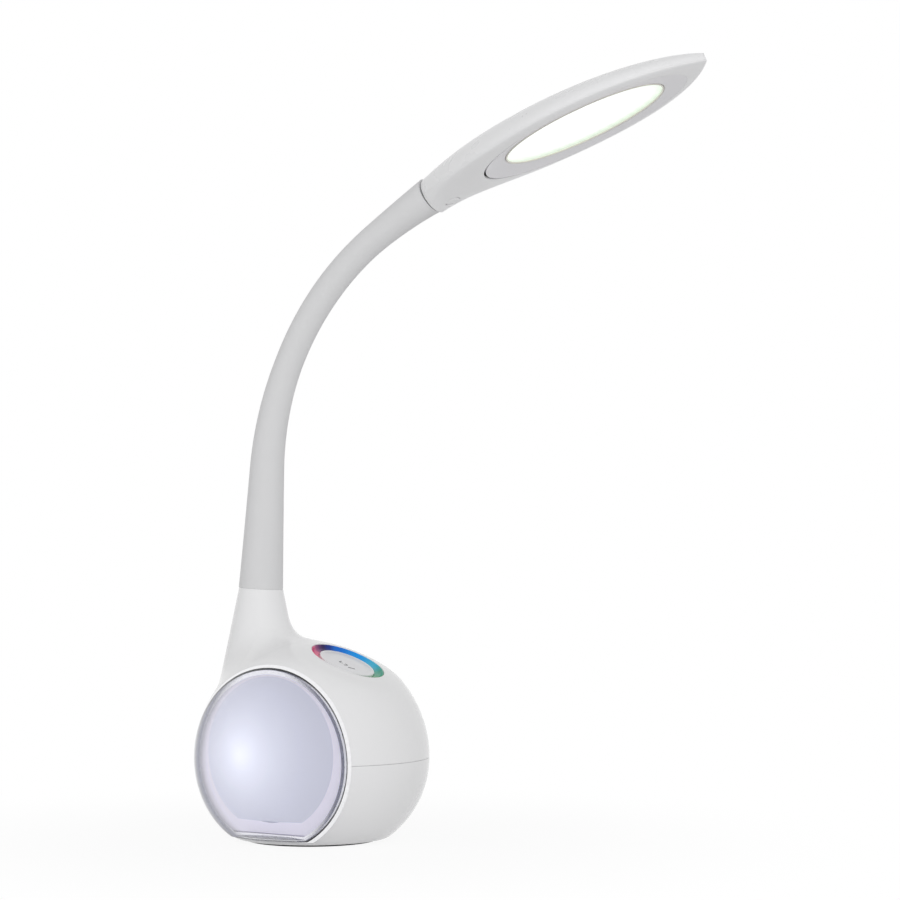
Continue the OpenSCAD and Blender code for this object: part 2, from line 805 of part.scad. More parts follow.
upper_shell();
lower_shell();
base_pad();
shell_screws();
counterweight();
main_board();
main_board_parts();
board_spacers();
board_screws();
dc_jack();
dc_jack_pin();
base_leads();
dome_cover();
rim_ring();
mood_diffuser();
mood_reflector();
mood_board();
mood_leds();
touch_ring();
touch_disc();
touch_board();
neck_washer();
neck_nut();
neck_core_foot();
neck_sleeve_foot();
for (k = [1:joint_count - 1]) neck_core(k);
for (k = [1:joint_count - 1]) neck_sleeve(k);
neck_core_head();
neck_sleeve_head();
head_shell();
head_cover();
light_frame();
window_rim();
light_panel();
led_tray();
led_board();
led_chips();
heat_spreader();
neck_clamp();
head_screws();
screw_plug();
head_leads();
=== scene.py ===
"""A touch desk lamp with a ball base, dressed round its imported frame.

Lengths inside the classes are in millimetres. Every finished mesh is scaled to metres once, by
Workbench.finish, and its object stays at the origin.
"""
import logging
import math
from dataclasses import dataclass
from enum import Enum
from typing import Callable, Sequence

import bmesh
import bpy
import numpy as np
from mathutils import Matrix, Vector


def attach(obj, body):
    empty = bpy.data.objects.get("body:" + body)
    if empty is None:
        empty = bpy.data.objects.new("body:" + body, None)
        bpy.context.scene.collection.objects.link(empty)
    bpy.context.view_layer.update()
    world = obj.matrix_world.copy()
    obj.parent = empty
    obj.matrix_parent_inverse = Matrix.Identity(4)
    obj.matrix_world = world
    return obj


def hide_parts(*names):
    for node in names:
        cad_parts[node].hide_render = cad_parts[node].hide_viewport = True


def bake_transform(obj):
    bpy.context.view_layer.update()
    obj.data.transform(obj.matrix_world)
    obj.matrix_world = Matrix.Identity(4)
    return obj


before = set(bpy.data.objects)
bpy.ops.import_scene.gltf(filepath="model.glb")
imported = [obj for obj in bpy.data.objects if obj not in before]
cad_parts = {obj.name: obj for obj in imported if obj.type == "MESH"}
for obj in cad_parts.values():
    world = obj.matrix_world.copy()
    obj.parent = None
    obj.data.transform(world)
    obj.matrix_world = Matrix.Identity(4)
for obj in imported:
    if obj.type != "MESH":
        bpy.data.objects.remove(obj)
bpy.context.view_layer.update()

LOG = logging.getLogger("desk_lamp")
MM = 0.001
UPRIGHT = Matrix.Identity(4)
WHITE = (1, 1, 1, 1)

Colour = tuple[float, float, float]
Point = tuple[float, float]
Mesh = bmesh.types.BMesh
Socket = bpy.types.NodeSocket


class Body(Enum):
    """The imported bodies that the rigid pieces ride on."""

    BASE = "base"
    HEAD = "head"


def srgb(red: int, green: int, blue: int) -> Colour:
    """Turns a display colour into scene light.

    Args:
        red, green, blue: Display values from 0 to 255.

    Returns:
        The three linear values.
    """
    return tuple(
        c / 12.92 if c <= 0.04045 else ((c + 0.055) / 1.055) ** 2.4
        for c in (red / 255, green / 255, blue / 255)
    )


# ---------- materials ----------


class NodeSheet:
    """A node tree with short ways to add and join its nodes."""

    noise_range: Point = (0.3, 0.7)

    def __init__(self, owner: bpy.types.Material | bpy.types.World, output: str = "OutputMaterial") -> None:
        """Empties a node tree and gives it an output.

        Args:
            owner: The material or world that has the tree.
            output: Its output node's type.
        """
        owner.use_nodes = True
        self.owner = owner
        self.tree = owner.node_tree
        self.tree.nodes.clear()
        self.output = self.add(output)

    def add(self, kind: str, choices: dict[str, str] | None = None, **inputs: object) -> bpy.types.Node:
        """Adds a node.

        Args:
            kind: The node's Blender type, without its common first part.
            choices: The node's own settings.
            inputs: Its inputs, as for feed.

        Returns:
            The new node.
        """
        node = self.tree.nodes.new(f"ShaderNode{kind}")
        for key, value in (choices or {}).items():
            setattr(node, key, value)
        self.feed(node, **inputs)
        return node

    def feed(self, node: bpy.types.Node, **inputs: object) -> None:
        """Gives a node's inputs a value or another node's output.

        Args:
            node: The node.
            inputs: By name with underscores for spaces, or by number after an underscore.
        """
        for key, value in inputs.items():
            name = key.replace("_", " ").strip()
            target = node.inputs[int(name) if name.isdigit() else name]
            if isinstance(value, Socket):
                self.tree.links.new(value, target)
            else:
                target.default_value = value

    def coords(self) -> Socket:
        """The piece's own coordinates, in metres."""
        return self.add("TexCoord").outputs["Object"]

    def placed(
        self, place: Sequence[float], turn: Sequence[float] = (0, 0, 0), size: Sequence[float] = (1, 1, 1)
    ) -> Socket:
        """The piece's coordinates, measured in a frame with its own place, turn and size."""
        values = {"Vector": self.coords(), "Location": place, "Rotation": turn, "Scale": size}
        return self.add("Mapping", {"vector_type": "TEXTURE"}, **values).outputs["Vector"]

    def noise(self, scale: float, detail: float = 3.0, stretch: Sequence[float] = (1, 1, 1)) -> Socket:
        """A noise pattern on the piece's own coordinates.

        Args:
            scale: Pattern cells in a metre.
            detail: Number of finer layers.
            stretch: Factor along each axis.

        Returns:
            The noise value's socket.
        """
        spot = self.add("Mapping", Vector=self.coords(), Scale=stretch).outputs["Vector"]
        return self.add("TexNoise", Vector=spot, Scale=scale, Detail=detail).outputs["Fac"]

    def gradient(self, kind: str, place: Socket) -> Socket:
        """A gradient of this kind over a place."""
        return self.add("TexGradient", {"gradient_type": kind}, Vector=place).outputs["Fac"]

    def span(self, value: Socket, source: Point, target: Point = (0, 1), smooth: bool = False) -> Socket:
        """Maps one range of a value onto another.

        Args:
            value: The value's socket.
            source: The range that it has.
            target: The range that it gets.
            smooth: True for soft ends.

        Returns:
            The mapped value's socket.
        """
        kind = {"interpolation_type": "SMOOTHSTEP" if smooth else "LINEAR"}
        ends = {"From_Min": source[0], "From_Max": source[1], "To_Min": target[0], "To_Max": target[1]}
        return self.add("MapRange", kind, Value=value, **ends).outputs["Result"]

    def patchy(self, low: float, high: float, *pattern: float) -> Socket:
        """A noise pattern that runs from low to high."""
        return self.span(self.noise(*pattern), self.noise_range, (low, high))

    def mix(self, value: Socket, first: Colour, second: Colour) -> Socket:
        """Mixes two colours by a value."""
        return self.add("Mix", {"data_type": "RGBA"}, _0=value, _6=(*first, 1), _7=(*second, 1)).outputs[2]

    def maths(self, operation: str, *values: float | Socket) -> Socket:
        """Works out an operation on values and sockets."""
        inputs = {f"_{i}": value for i, value in enumerate(values)}
        return self.add("Math", {"operation": operation}, **inputs).outputs[0]

    def length(self, vector: Socket) -> Socket:
        """A vector's length."""
        return self.add("VectorMath", {"operation": "LENGTH"}, _0=vector).outputs["Value"]

    def bump(self, height: Socket, depth: float) -> Socket:
        """A bump whose depth is in metres."""
        return self.add("Bump", Strength=1.0, Distance=depth, Height=height).outputs["Normal"]

    def seen(self) -> Socket:
        """Tells the rays from the camera, in reflections and through clear parts from the others.

        Returns:
            The socket of a value that is 1 for those rays, or else 0.
        """
        path = self.add("LightPath").outputs
        direct = self.maths("MAXIMUM", path["Is Camera Ray"], path["Is Glossy Ray"])
        return self.maths("MAXIMUM", direct, path["Is Transmission Ray"])

    def show(self, shader: bpy.types.Node) -> None:
        """Joins a shader to the output."""
        self.feed(self.output, Surface=shader.outputs[0])

    def show_blend(self, share: Socket, first: bpy.types.Node, second: bpy.types.Node) -> None:
        """Joins a blend of two shaders to the output."""
        self.show(self.add("MixShader", _0=share, _1=first.outputs[0], _2=second.outputs[0]))

    def plastic(self, **inputs: object) -> None:
        """Adds the main shader, joined to the output."""
        self.show(self.add("BsdfPrincipled", **inputs))


@dataclass(frozen=True)
class Finish:
    """A named finish, whose material is made when a piece first wears it."""

    name: str

    def material(self) -> bpy.types.Material:
        """Makes the material.

        Returns:
            The new material.
        """
        sheet = NodeSheet(bpy.data.materials.new(self.name))
        self.fill(sheet)
        return sheet.owner

    def fill(self, sheet: NodeSheet) -> None:
        """Draws the finish on its sheet, in each kind's own way."""
        raise NotImplementedError


@dataclass(frozen=True)
class Moulded(Finish):
    """Moulded plastic, rubber or silicone: a soft colour drift, uneven gloss and a fine surface."""

    colour: Colour
    roughness: float = 0.3
    drift: float = 0.02
    gloss_drift: float = 0.04
    grain: float = 900.0
    grain_depth: float = 0.000003
    coat: float = 0.0
    level: float = 0.5

    def fill(self, sheet: NodeSheet) -> None:
        """Draws the finish on its sheet.

        Args:
            sheet: The material's empty sheet.
        """
        dark = tuple(c * (1 - self.drift) for c in self.colour)
        low, high = self.roughness - self.gloss_drift, self.roughness + self.gloss_drift
        sheet.plastic(
            IOR=1.47, Coat_Weight=self.coat, Coat_Roughness=0.05, Specular_IOR_Level=self.level,
            Base_Color=sheet.mix(sheet.noise(22.0, 2.0), dark, self.colour),
            Roughness=sheet.patchy(low, high, 70.0, 4.0),
            Normal=sheet.bump(sheet.noise(self.grain, 2.0), self.grain_depth),
        )


@dataclass(frozen=True)
class Metal(Finish):
    """Turned or plated metal with fine tool marks."""

    colour: Colour
    roughness: float = 0.25
    marks: float = 1500.0
    stretch: Sequence[float] = (1, 1, 6)
    mark_depth: float = 0.000006
    dull: float = 0.85

    def fill(self, sheet: NodeSheet) -> None:
        """Draws the finish on its sheet.

        Args:
            sheet: The material's empty sheet.
        """
        marks = sheet.noise(self.marks, 3.0, self.stretch)
        dull = tuple(c * self.dull for c in self.colour)
        sheet.plastic(
            Metallic=1.0, Base_Color=sheet.mix(marks, dull, self.colour),
            Roughness=sheet.span(marks, sheet.noise_range, (self.roughness * 0.7, self.roughness * 1.3)),
            Normal=sheet.bump(marks, self.mark_depth),
        )


@dataclass(frozen=True)
class ClearAcrylic(Finish):
    """Clear moulded acrylic with a painted blue-grey shade where it is seen edge on, standing for the dark
    surroundings that its edges refract, and faint handling haze.
    """

    clear: Colour = srgb(252, 252, 255)
    # edge: the painted shade's colour, mixed in where the surface is seen edge on.
    edge: Colour = srgb(58, 60, 80)
    edge_shade_span: Point = (0.52, 0.74)

    def fill(self, sheet: NodeSheet) -> None:
        """Draws the finish on its sheet.

        Args:
            sheet: The material's empty sheet.
        """
        # Painted shade: Layer Weight's facing value mixes in the dark edge colour towards the limb.
        painted_edge_shade = sheet.span(sheet.add("LayerWeight", Blend=0.5).outputs["Facing"], self.edge_shade_span, smooth=True)
        sheet.plastic(
            Transmission_Weight=1.0, IOR=1.49, Base_Color=sheet.mix(painted_edge_shade, self.clear, self.edge),
            Roughness=sheet.patchy(0.0, 0.015, 90.0, 4.0), Normal=sheet.bump(sheet.noise(30.0, 1.0), 0.00002),
        )


@dataclass(frozen=True)
class FrostWithPaintedGlow(Finish):
    """Frosted lavender plastic with painted light: an emitted glow all over, stronger and paler round a spot
    left of the lens's middle.
    """

    bright: Colour = srgb(240, 243, 255)
    dim: Colour = srgb(203, 205, 219)
    # Painted pool of light: the glow and the bright tone grow towards this spot.
    painted_glow_place: tuple[float, float, float] = (-0.012, -0.046, 0.046)
    painted_glow_reach: float = 0.055
    glow: float = 0.24
    # Painted light: the glow that the whole part gives, whatever light falls on it.
    painted_base_glow: float = 0.3

    def fill(self, sheet: NodeSheet) -> None:
        """Draws the finish on its sheet.

        Args:
            sheet: The material's empty sheet.
        """
        place = sheet.placed(self.painted_glow_place, size=(self.painted_glow_reach,) * 3)
        # Painted light: the colour runs from dim to bright towards the glow spot and is also emitted.
        ball = sheet.gradient("QUADRATIC_SPHERE", place)
        colour = sheet.mix(ball, self.dim, self.bright)
        sheet.plastic(
            IOR=1.5, Base_Color=colour, Emission_Color=colour,
            Emission_Strength=sheet.maths("MULTIPLY_ADD", ball, self.glow, self.painted_base_glow),
            Roughness=sheet.patchy(0.42, 0.58, 400.0), Normal=sheet.bump(sheet.noise(1800.0, 2.0), 0.00001),
        )


@dataclass(frozen=True)
class TouchRainbow(Finish):
    """The touch ring's run of colours round its own axis."""

    centre: Vector
    tilt: float
    stops: Sequence[tuple[float, Colour]]
    glow: float = 0.12

    def fill(self, sheet: NodeSheet) -> None:
        """Draws the finish on its sheet.

        Args:
            sheet: The material's empty sheet.
        """
        turn = sheet.gradient("RADIAL", sheet.placed(self.centre, (0, self.tilt, 0)))
        ramp = sheet.add("ValToRGB", Fac=turn)
        ramp.color_ramp.interpolation = "EASE"
        while len(ramp.color_ramp.elements) < len(self.stops):
            ramp.color_ramp.elements.new(0.5)
        for element, (place, colour) in zip(ramp.color_ramp.elements, self.stops):
            element.position = place
            element.color = (*colour, 1)
        colour = ramp.outputs["Color"]
        sheet.plastic(
            Specular_IOR_Level=0.25, Emission_Strength=self.glow, Base_Color=colour, Emission_Color=colour,
            Roughness=sheet.patchy(0.12, 0.25, 300.0),
        )


@dataclass(frozen=True)
class LitWindow(Finish):
    """The milky light panel with the faint stripes of the lamps behind it and a cool green rim."""

    matrix: Matrix
    half_length: float
    half_width: float
    middle: Colour = srgb(255, 255, 255)
    edge: Colour = srgb(208, 224, 204)
    rim: Point = (0.7, 1.12)
    glow: float = 0.6
    stripe_dip: float = 0.9
    stripe_step: float = 0.006

    def fill(self, sheet: NodeSheet) -> None:
        """Draws the finish on its sheet.

        Args:
            sheet: The material's empty sheet.
        """
        place, turn, _ = self.matrix.decompose()
        centre = place - turn @ Vector((0, 0.16 * self.half_width, 0))
        spot = sheet.placed(centre, turn.to_euler(), (self.half_length, self.half_width, 1.0))
        parts = sheet.add("SeparateXYZ", Vector=spot).outputs
        flat = sheet.add("CombineXYZ", X=parts["X"], Y=parts["Y"]).outputs["Vector"]
        rim = sheet.span(sheet.length(flat), self.rim, smooth=True)
        wave = sheet.maths("MULTIPLY", parts["X"], 2 * math.pi * self.half_length / self.stripe_step)
        stripes = sheet.span(sheet.maths("SINE", wave), (-1, 1), (self.glow * self.stripe_dip, self.glow))
        colour = sheet.mix(rim, self.middle, self.edge)
        sheet.plastic(
            Roughness=0.35, IOR=1.5, Base_Color=colour, Emission_Color=colour, Emission_Strength=stripes
        )


@dataclass(frozen=True)
class CircuitBoard(Finish):
    """Solder mask over faint copper tracks, green unless told otherwise."""

    mask: Colour = srgb(28, 92, 58)
    track: Colour = srgb(60, 138, 88)
    track_scale: float = 420.0
    track_width: float = 0.03

    def fill(self, sheet: NodeSheet) -> None:
        """Draws the finish on its sheet.

        Args:
            sheet: The material's empty sheet.
        """
        mask, track = (*self.mask, 1), (*self.track, 1)
        bricks = sheet.add(
            "TexBrick", Scale=self.track_scale, Mortar_Size=self.track_width,
            Color1=mask, Color2=mask, Mortar=track, Vector=sheet.coords(),
        )
        sheet.plastic(
            Coat_Weight=0.5, Base_Color=bricks.outputs["Color"], Roughness=sheet.patchy(0.25, 0.4, 200.0),
            Normal=sheet.bump(bricks.outputs["Fac"], 0.00003),
        )


# ---------- shared modelling helpers ----------


class Workbench:
    """Shared ways to turn a mesh in millimetres into a finished piece."""

    made: dict[str, bpy.types.Material] = {}

    @classmethod
    def paint(cls, finish: Finish) -> bpy.types.Material:
        """Gives a finish's material, made once."""
        if finish.name not in cls.made:
            cls.made[finish.name] = finish.material()
        return cls.made[finish.name]

    @staticmethod
    def surface(shape: Callable[[float, float], Vector], along: int, across: int) -> Mesh:
        """Bends a grid into a surface.

        Args:
            shape: Gives the place for two shares from 0 to 1.
            along: Number of faces in the first direction.
            across: Number of faces in the second direction.

        Returns:
            The bent grid, with touching edges merged.
        """
        bm = bmesh.new()
        bmesh.ops.create_grid(bm, x_segments=along, y_segments=across, size=1.0)
        for vert in bm.verts:
            vert.co = shape((vert.co.x + 1) / 2, (vert.co.y + 1) / 2)
        bmesh.ops.remove_doubles(bm, verts=bm.verts, dist=1e-4)
        return bm

    @staticmethod
    def turned(outline: Sequence[Point], matrix: Matrix = UPRIGHT, steps: int = 128) -> Mesh:
        """Turns an outline of (radius, height) points round an axis.

        Args:
            outline: The points, in order.
            matrix: Frame whose Z is the axis.
            steps: Number of faces round the axis.

        Returns:
            The turned surface.
        """
        bm = bmesh.new()
        verts = [bm.verts.new((radius, 0, height)) for radius, height in outline]
        edges = [bm.edges.new(pair) for pair in zip(verts, verts[1:])]
        bmesh.ops.spin(
            bm, geom=verts + edges, cent=(0, 0, 0), axis=(0, 0, 1), dvec=(0, 0, 0),
            angle=2 * math.pi, steps=steps, use_merge=True,
        )
        bmesh.ops.remove_doubles(bm, verts=bm.verts, dist=1e-4)
        bmesh.ops.transform(bm, matrix=matrix, verts=bm.verts)
        return bm

    @staticmethod
    def slice_off(bm: Mesh, place: Sequence[float], away: Sequence[float]) -> None:
        """Cuts off what lies beyond a plane, in the direction away."""
        bmesh.ops.bisect_plane(
            bm, geom=bm.verts[:] + bm.edges[:] + bm.faces[:], dist=1e-5,
            plane_co=place, plane_no=away, clear_outer=True,
        )

    @staticmethod
    def split(
        bm: Mesh, faces: Sequence[bmesh.types.BMFace], place: Sequence[float], across: Sequence[float],
        snap: float = 1e-5,
    ) -> None:
        """Cuts faces along a plane and keeps both sides.

        Args:
            bm: The mesh.
            faces: Its faces to cut.
            place: A point on the plane.
            across: The plane's normal.
            snap: Distance at which a vertex counts as on the plane.
        """
        verts = {v for f in faces for v in f.verts}
        edges = {e for f in faces for e in f.edges}
        bmesh.ops.bisect_plane(bm, geom=[*verts, *edges, *faces], dist=snap, plane_co=place, plane_no=across)

    @staticmethod
    def open_edges(bm: Mesh, test: Callable[[Vector], bool]) -> list[bmesh.types.BMEdge]:
        """The open edges whose ends both pass a test."""
        return [e for e in bm.edges if e.is_boundary and all(test(v.co) for v in e.verts)]

    @staticmethod
    def merge(parts: Sequence[Mesh]) -> Mesh:
        """Joins several meshes into one.

        Args:
            parts: The meshes, freed here.

        Returns:
            The joined mesh.
        """
        whole = bmesh.new()
        for part in parts:
            bmesh.ops.recalc_face_normals(part, faces=part.faces)
            scratch = bpy.data.meshes.new("scratch")
            part.to_mesh(scratch)
            whole.from_mesh(scratch)
            bpy.data.meshes.remove(scratch)
            part.free()
        return whole

    @staticmethod
    def apply(obj: bpy.types.Object) -> None:
        """Applies an object's modifiers.

        Args:
            obj: The object.
        """
        graph = bpy.context.evaluated_depsgraph_get()
        done = bpy.data.meshes.new_from_object(obj.evaluated_get(graph))
        obj.modifiers.clear()
        old, obj.data = obj.data, done
        bpy.data.meshes.remove(old)

    @staticmethod
    def scratch(bm: Mesh, name: str = "scratch") -> bpy.types.Object:
        """Puts a mesh in the scene as it is, with its normals outward.

        Args:
            bm: The mesh, freed here.
            name: The object's name.

        Returns:
            The object.
        """
        bmesh.ops.recalc_face_normals(bm, faces=bm.faces)
        mesh = bpy.data.meshes.new(name)
        bm.to_mesh(mesh)
        bm.free()
        obj = bpy.data.objects.new(name, mesh)
        bpy.context.scene.collection.objects.link(obj)
        return obj

    @classmethod
    def carve(cls, body: Mesh, tool: Mesh, add: bool = False, wall: float = 0.0) -> Mesh:
        """Takes one closed form from another, or adds it.

        Args:
            body: The form to change.
            tool: The form to take away or add.
            add: True to add the tool.
            wall: Thickness to give an open body first, 0 for none.

        Returns:
            The changed form.
        """
        target, cutter = cls.scratch(body), cls.scratch(tool)
        if wall:
            cls.thicken(target, wall)
        boolean = target.modifiers.new("carve", "BOOLEAN")
        boolean.operation = "UNION" if add else "DIFFERENCE"
        boolean.solver = "EXACT"
        boolean.object = cutter
        cls.apply(target)
        result = bmesh.new()
        result.from_mesh(target.data)
        for obj in (target, cutter):
            mesh = obj.data
            bpy.data.objects.remove(obj)
            bpy.data.meshes.remove(mesh)
        return result

    @staticmethod
    def thicken(obj: bpy.types.Object, wall: float) -> None:
        """Adds a live wall that grows inward.

        Args:
            obj: The object.
            wall: The wall's thickness, in the mesh's unit.
        """
        solid = obj.modifiers.new("wall", "SOLIDIFY")
        solid.thickness = wall
        solid.offset = -1.0
        solid.use_even_offset = True

    @staticmethod
    def soften(obj: bpy.types.Object, edge: float) -> None:
        """Adds live rounded edges.

        Args:
            obj: The object.
            edge: The edges' radius, in the mesh's unit.
        """
        bevel = obj.modifiers.new("edges", "BEVEL")
        bevel.width = edge
        bevel.segments = 2
        bevel.limit_method = "ANGLE"
        bevel.angle_limit = math.radians(50)
        bevel.use_clamp_overlap = True

    @classmethod
    def finish(
        cls, name: str, bm: Mesh, finish: Finish, slot: str, body: Body | None, replaced: Sequence[str] = (),
        at: Matrix = UPRIGHT, wall: float = 0.0, edge: float = 0.0, sharp: float = 35.0,
    ) -> bpy.types.Object:
        """Turns a mesh in millimetres into a finished piece in metres.

        Args:
            name: The piece's name.
            bm: Its mesh, freed here.
            finish: Its finish.
            slot: The record's material slot; not used.
            body: The body it rides on, or None.
            replaced: The CAD nodes it stands for.
            at: The frame that the mesh was drawn in.
            wall: Thickness that an open skin gets inward.
            edge: Radius of its rounded edges.
            sharp: Angle above which an edge stays sharp, in degrees.

        Returns:
            The piece.
        """
        bmesh.ops.transform(bm, matrix=at, verts=bm.verts)
        bmesh.ops.remove_doubles(bm, verts=bm.verts, dist=2e-4)
        bmesh.ops.scale(bm, vec=(MM, MM, MM), verts=bm.verts)
        obj = cls.scratch(bm, name)
        obj.data.materials.append(cls.paint(finish))
        if wall:
            cls.thicken(obj, wall * MM)
            cls.apply(obj)
        if edge:
            cls.soften(obj, edge * MM)
            cls.apply(obj)
        obj.data.polygons.foreach_set("use_smooth", [True] * len(obj.data.polygons))
        obj.data.set_sharp_from_angle(angle=math.radians(sharp))
        if body:
            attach(obj, body.value)
        if replaced:
            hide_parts(*replaced)
        LOG.info("%s: %d faces", name, len(obj.data.polygons))
        return obj


BALL_R = 60.0
BALL_Z = 42.0
DOME_Y = 35.4
TOUCH_TILT = math.radians(24)
HEAD_PITCH = math.radians(20.6)
BALL = Matrix.Translation((0, 0, BALL_Z))
TOUCH = BALL @ Matrix.Rotation(TOUCH_TILT, 4, "Y")
DOME = BALL @ Matrix.Rotation(math.radians(90), 4, "X")
HEAD = Matrix.Translation((159.3, 0, BALL_Z + 312.8)) @ Matrix.Rotation(-HEAD_PITCH, 4, "Y")

GLOSS_SHELL = Moulded("gloss_shell", srgb(240, 240, 241), 0.16, 0.012, 0.03, 60.0, 0.00001, 0.1)
GLOSS_LOWER = Moulded("gloss_lower", srgb(239, 239, 240), 0.17, 0.012, 0.03, 60.0, 0.00001, 0.1)
TOUCH_WHITE = Moulded("touch_white", srgb(238, 238, 240), 0.38, 0.01, 0.03, 90.0, 0.00001, 0.0, 0.3)
ICON_GREY = Moulded("icon_grey", srgb(44, 46, 52), 0.3, 0.05, 0.05, 400.0, 0.000005)
SILICONE = Moulded("sleeve_silicone", srgb(221, 221, 222), 0.52, 0.02, 0.05, 1600.0, 0.00002, 0.0, 0.4)
HEAD_GLOSS = Moulded("head_gloss", srgb(237, 237, 238), 0.28, 0.01, 0.02, 700.0, 0.000003)
HEAD_COVER = Moulded("head_cover_white", srgb(235, 235, 236), 0.3, 0.01, 0.02, 700.0, 0.000003)
FRAME_WHITE = Moulded("frame_white", srgb(230, 229, 232), 0.32, 0.015, 0.04, 120.0, 0.00001)
RIM_CREAM = Moulded("rim_cream", srgb(240, 238, 228), 0.25, 0.02, 0.04, 300.0, 0.00001, 0.2)
BRIGHT_RIM = Metal("rim_bright", srgb(250, 250, 252), 0.12, 500.0, (1, 1, 1))
RUBBER = Moulded("pad_rubber", srgb(72, 72, 74), 0.75, 0.12, 0.08, 1400.0, 0.00005, 0.0, 0.3)
CLEAR_DOME = ClearAcrylic("clear_dome")
# Painted light: the lens glows, most round a spot left of its middle.
DIFFUSER_PAINTED_GLOW = FrostWithPaintedGlow("frosted_lavender")
# Painted light: the flange glows lavender at a steady level in place of the light that the clear dome keeps
# off it.
FLANGE_PAINTED_GLOW = FrostWithPaintedGlow("frosted_flange_painted_glow", srgb(224, 221, 234), srgb(222, 219, 232), glow=0.05, painted_base_glow=0.4)


@dataclass
class Outline:
    """The ball's outline below the seam: an arc drawn in to a rounded corner and a flat."""

    reach: float = 60.0
    arc: float = 50.0
    corner: float = 6.0
    low: float = -40.8

    def points(self, inset: float = 0.0, arc_steps: int = 24, corner_steps: int = 8) -> list[Point]:
        """Points from the seam down to the flat's edge.

        Args:
            inset: How much smaller the form is all round.
            arc_steps: Steps on the arc.
            corner_steps: Steps round the corner.

        Returns:
            The (radius, height) points.
        """
        arc, flat = self.arc - inset, self.low + inset
        turn = math.asin((-flat - self.corner) / (arc - self.corner))
        middle = self.reach - self.arc
        corner_x = middle + (arc - self.corner) * math.cos(turn)
        points = [
            (middle + arc * math.cos(turn * i / arc_steps), -arc * math.sin(turn * i / arc_steps))
            for i in range(arc_steps + 1)
        ]
        rest = math.pi / 2 - turn
        for i in range(1, corner_steps + 1):
            angle = turn + rest * i / corner_steps
            out, down = self.corner * math.cos(angle), self.corner * (1 - math.sin(angle))
            points.append((corner_x + out, flat + down))
        return points


# ---------- the base ----------


@dataclass
class NeckLine:
    """The neck's centre line and the sleeve's radius along it."""

    foot: tuple[float, float, float] = (-32.5, 0.0, BALL_Z + 85.7)
    lean: float = math.radians(86.5)
    straight: float = 62.0
    bend_r: float = 150.0
    bend_l: float = 141.0
    crown_r: float = 400.0
    length: float = 240.0
    slim: float = 7.25
    foot_flare: float = 4.2
    head_flare: float = 2.1

    def angle(self, s: float) -> float:
        """Angle above level at distance s."""
        bent = min(max(s - self.straight, 0.0), self.bend_l) / self.bend_r
        return self.lean - bent - max(s - self.straight - self.bend_l, 0.0) / self.crown_r

    @staticmethod
    def arc(start: float, radius: float, length: float) -> Vector:
        """Step along an arc that turns down.

        Args:
            start: Angle above level where it starts.
            radius: The arc's radius.
            length: Its length.

        Returns:
            The way from its start to its end.
        """
        end = start - length / radius
        along, up = math.sin(start) - math.sin(end), math.cos(end) - math.cos(start)
        return Vector((radius * along, 0, radius * up))

    def place(self, s: float) -> Vector:
        """The centre line's place.

        Args:
            s: Distance along the neck.

        Returns:
            The place.
        """
        along = Vector((math.cos(self.lean), 0, math.sin(self.lean)))
        point = Vector(self.foot) + min(s, self.straight) * along
        point += self.arc(self.lean, self.bend_r, min(max(s - self.straight, 0.0), self.bend_l))
        tail = max(s - self.straight - self.bend_l, 0.0)
        return point + self.arc(self.angle(self.straight + self.bend_l), self.crown_r, tail)

    def radius(self, s: float) -> float:
        """The sleeve's radius at distance s."""
        foot = self.foot_flare * max(1 - s / 120, 0.0) ** 1.3
        return self.slim + foot + self.head_flare * (max(s - self.length + 50, 0.0) / 50) ** 2

    def ring(self, s: float, radius: float, turn: float) -> Vector:
        """A point on a circle round the centre line.

        Args:
            s: Distance along the neck.
            radius: The circle's radius.
            turn: Angle round the circle.

        Returns:
            The point.
        """
        angle = self.angle(s)
        outward = Vector((math.sin(angle), 0, -math.cos(angle)))
        return self.place(s) + radius * (math.cos(turn) * outward + math.sin(turn) * Vector((0, 1, 0)))


NECK = NeckLine()


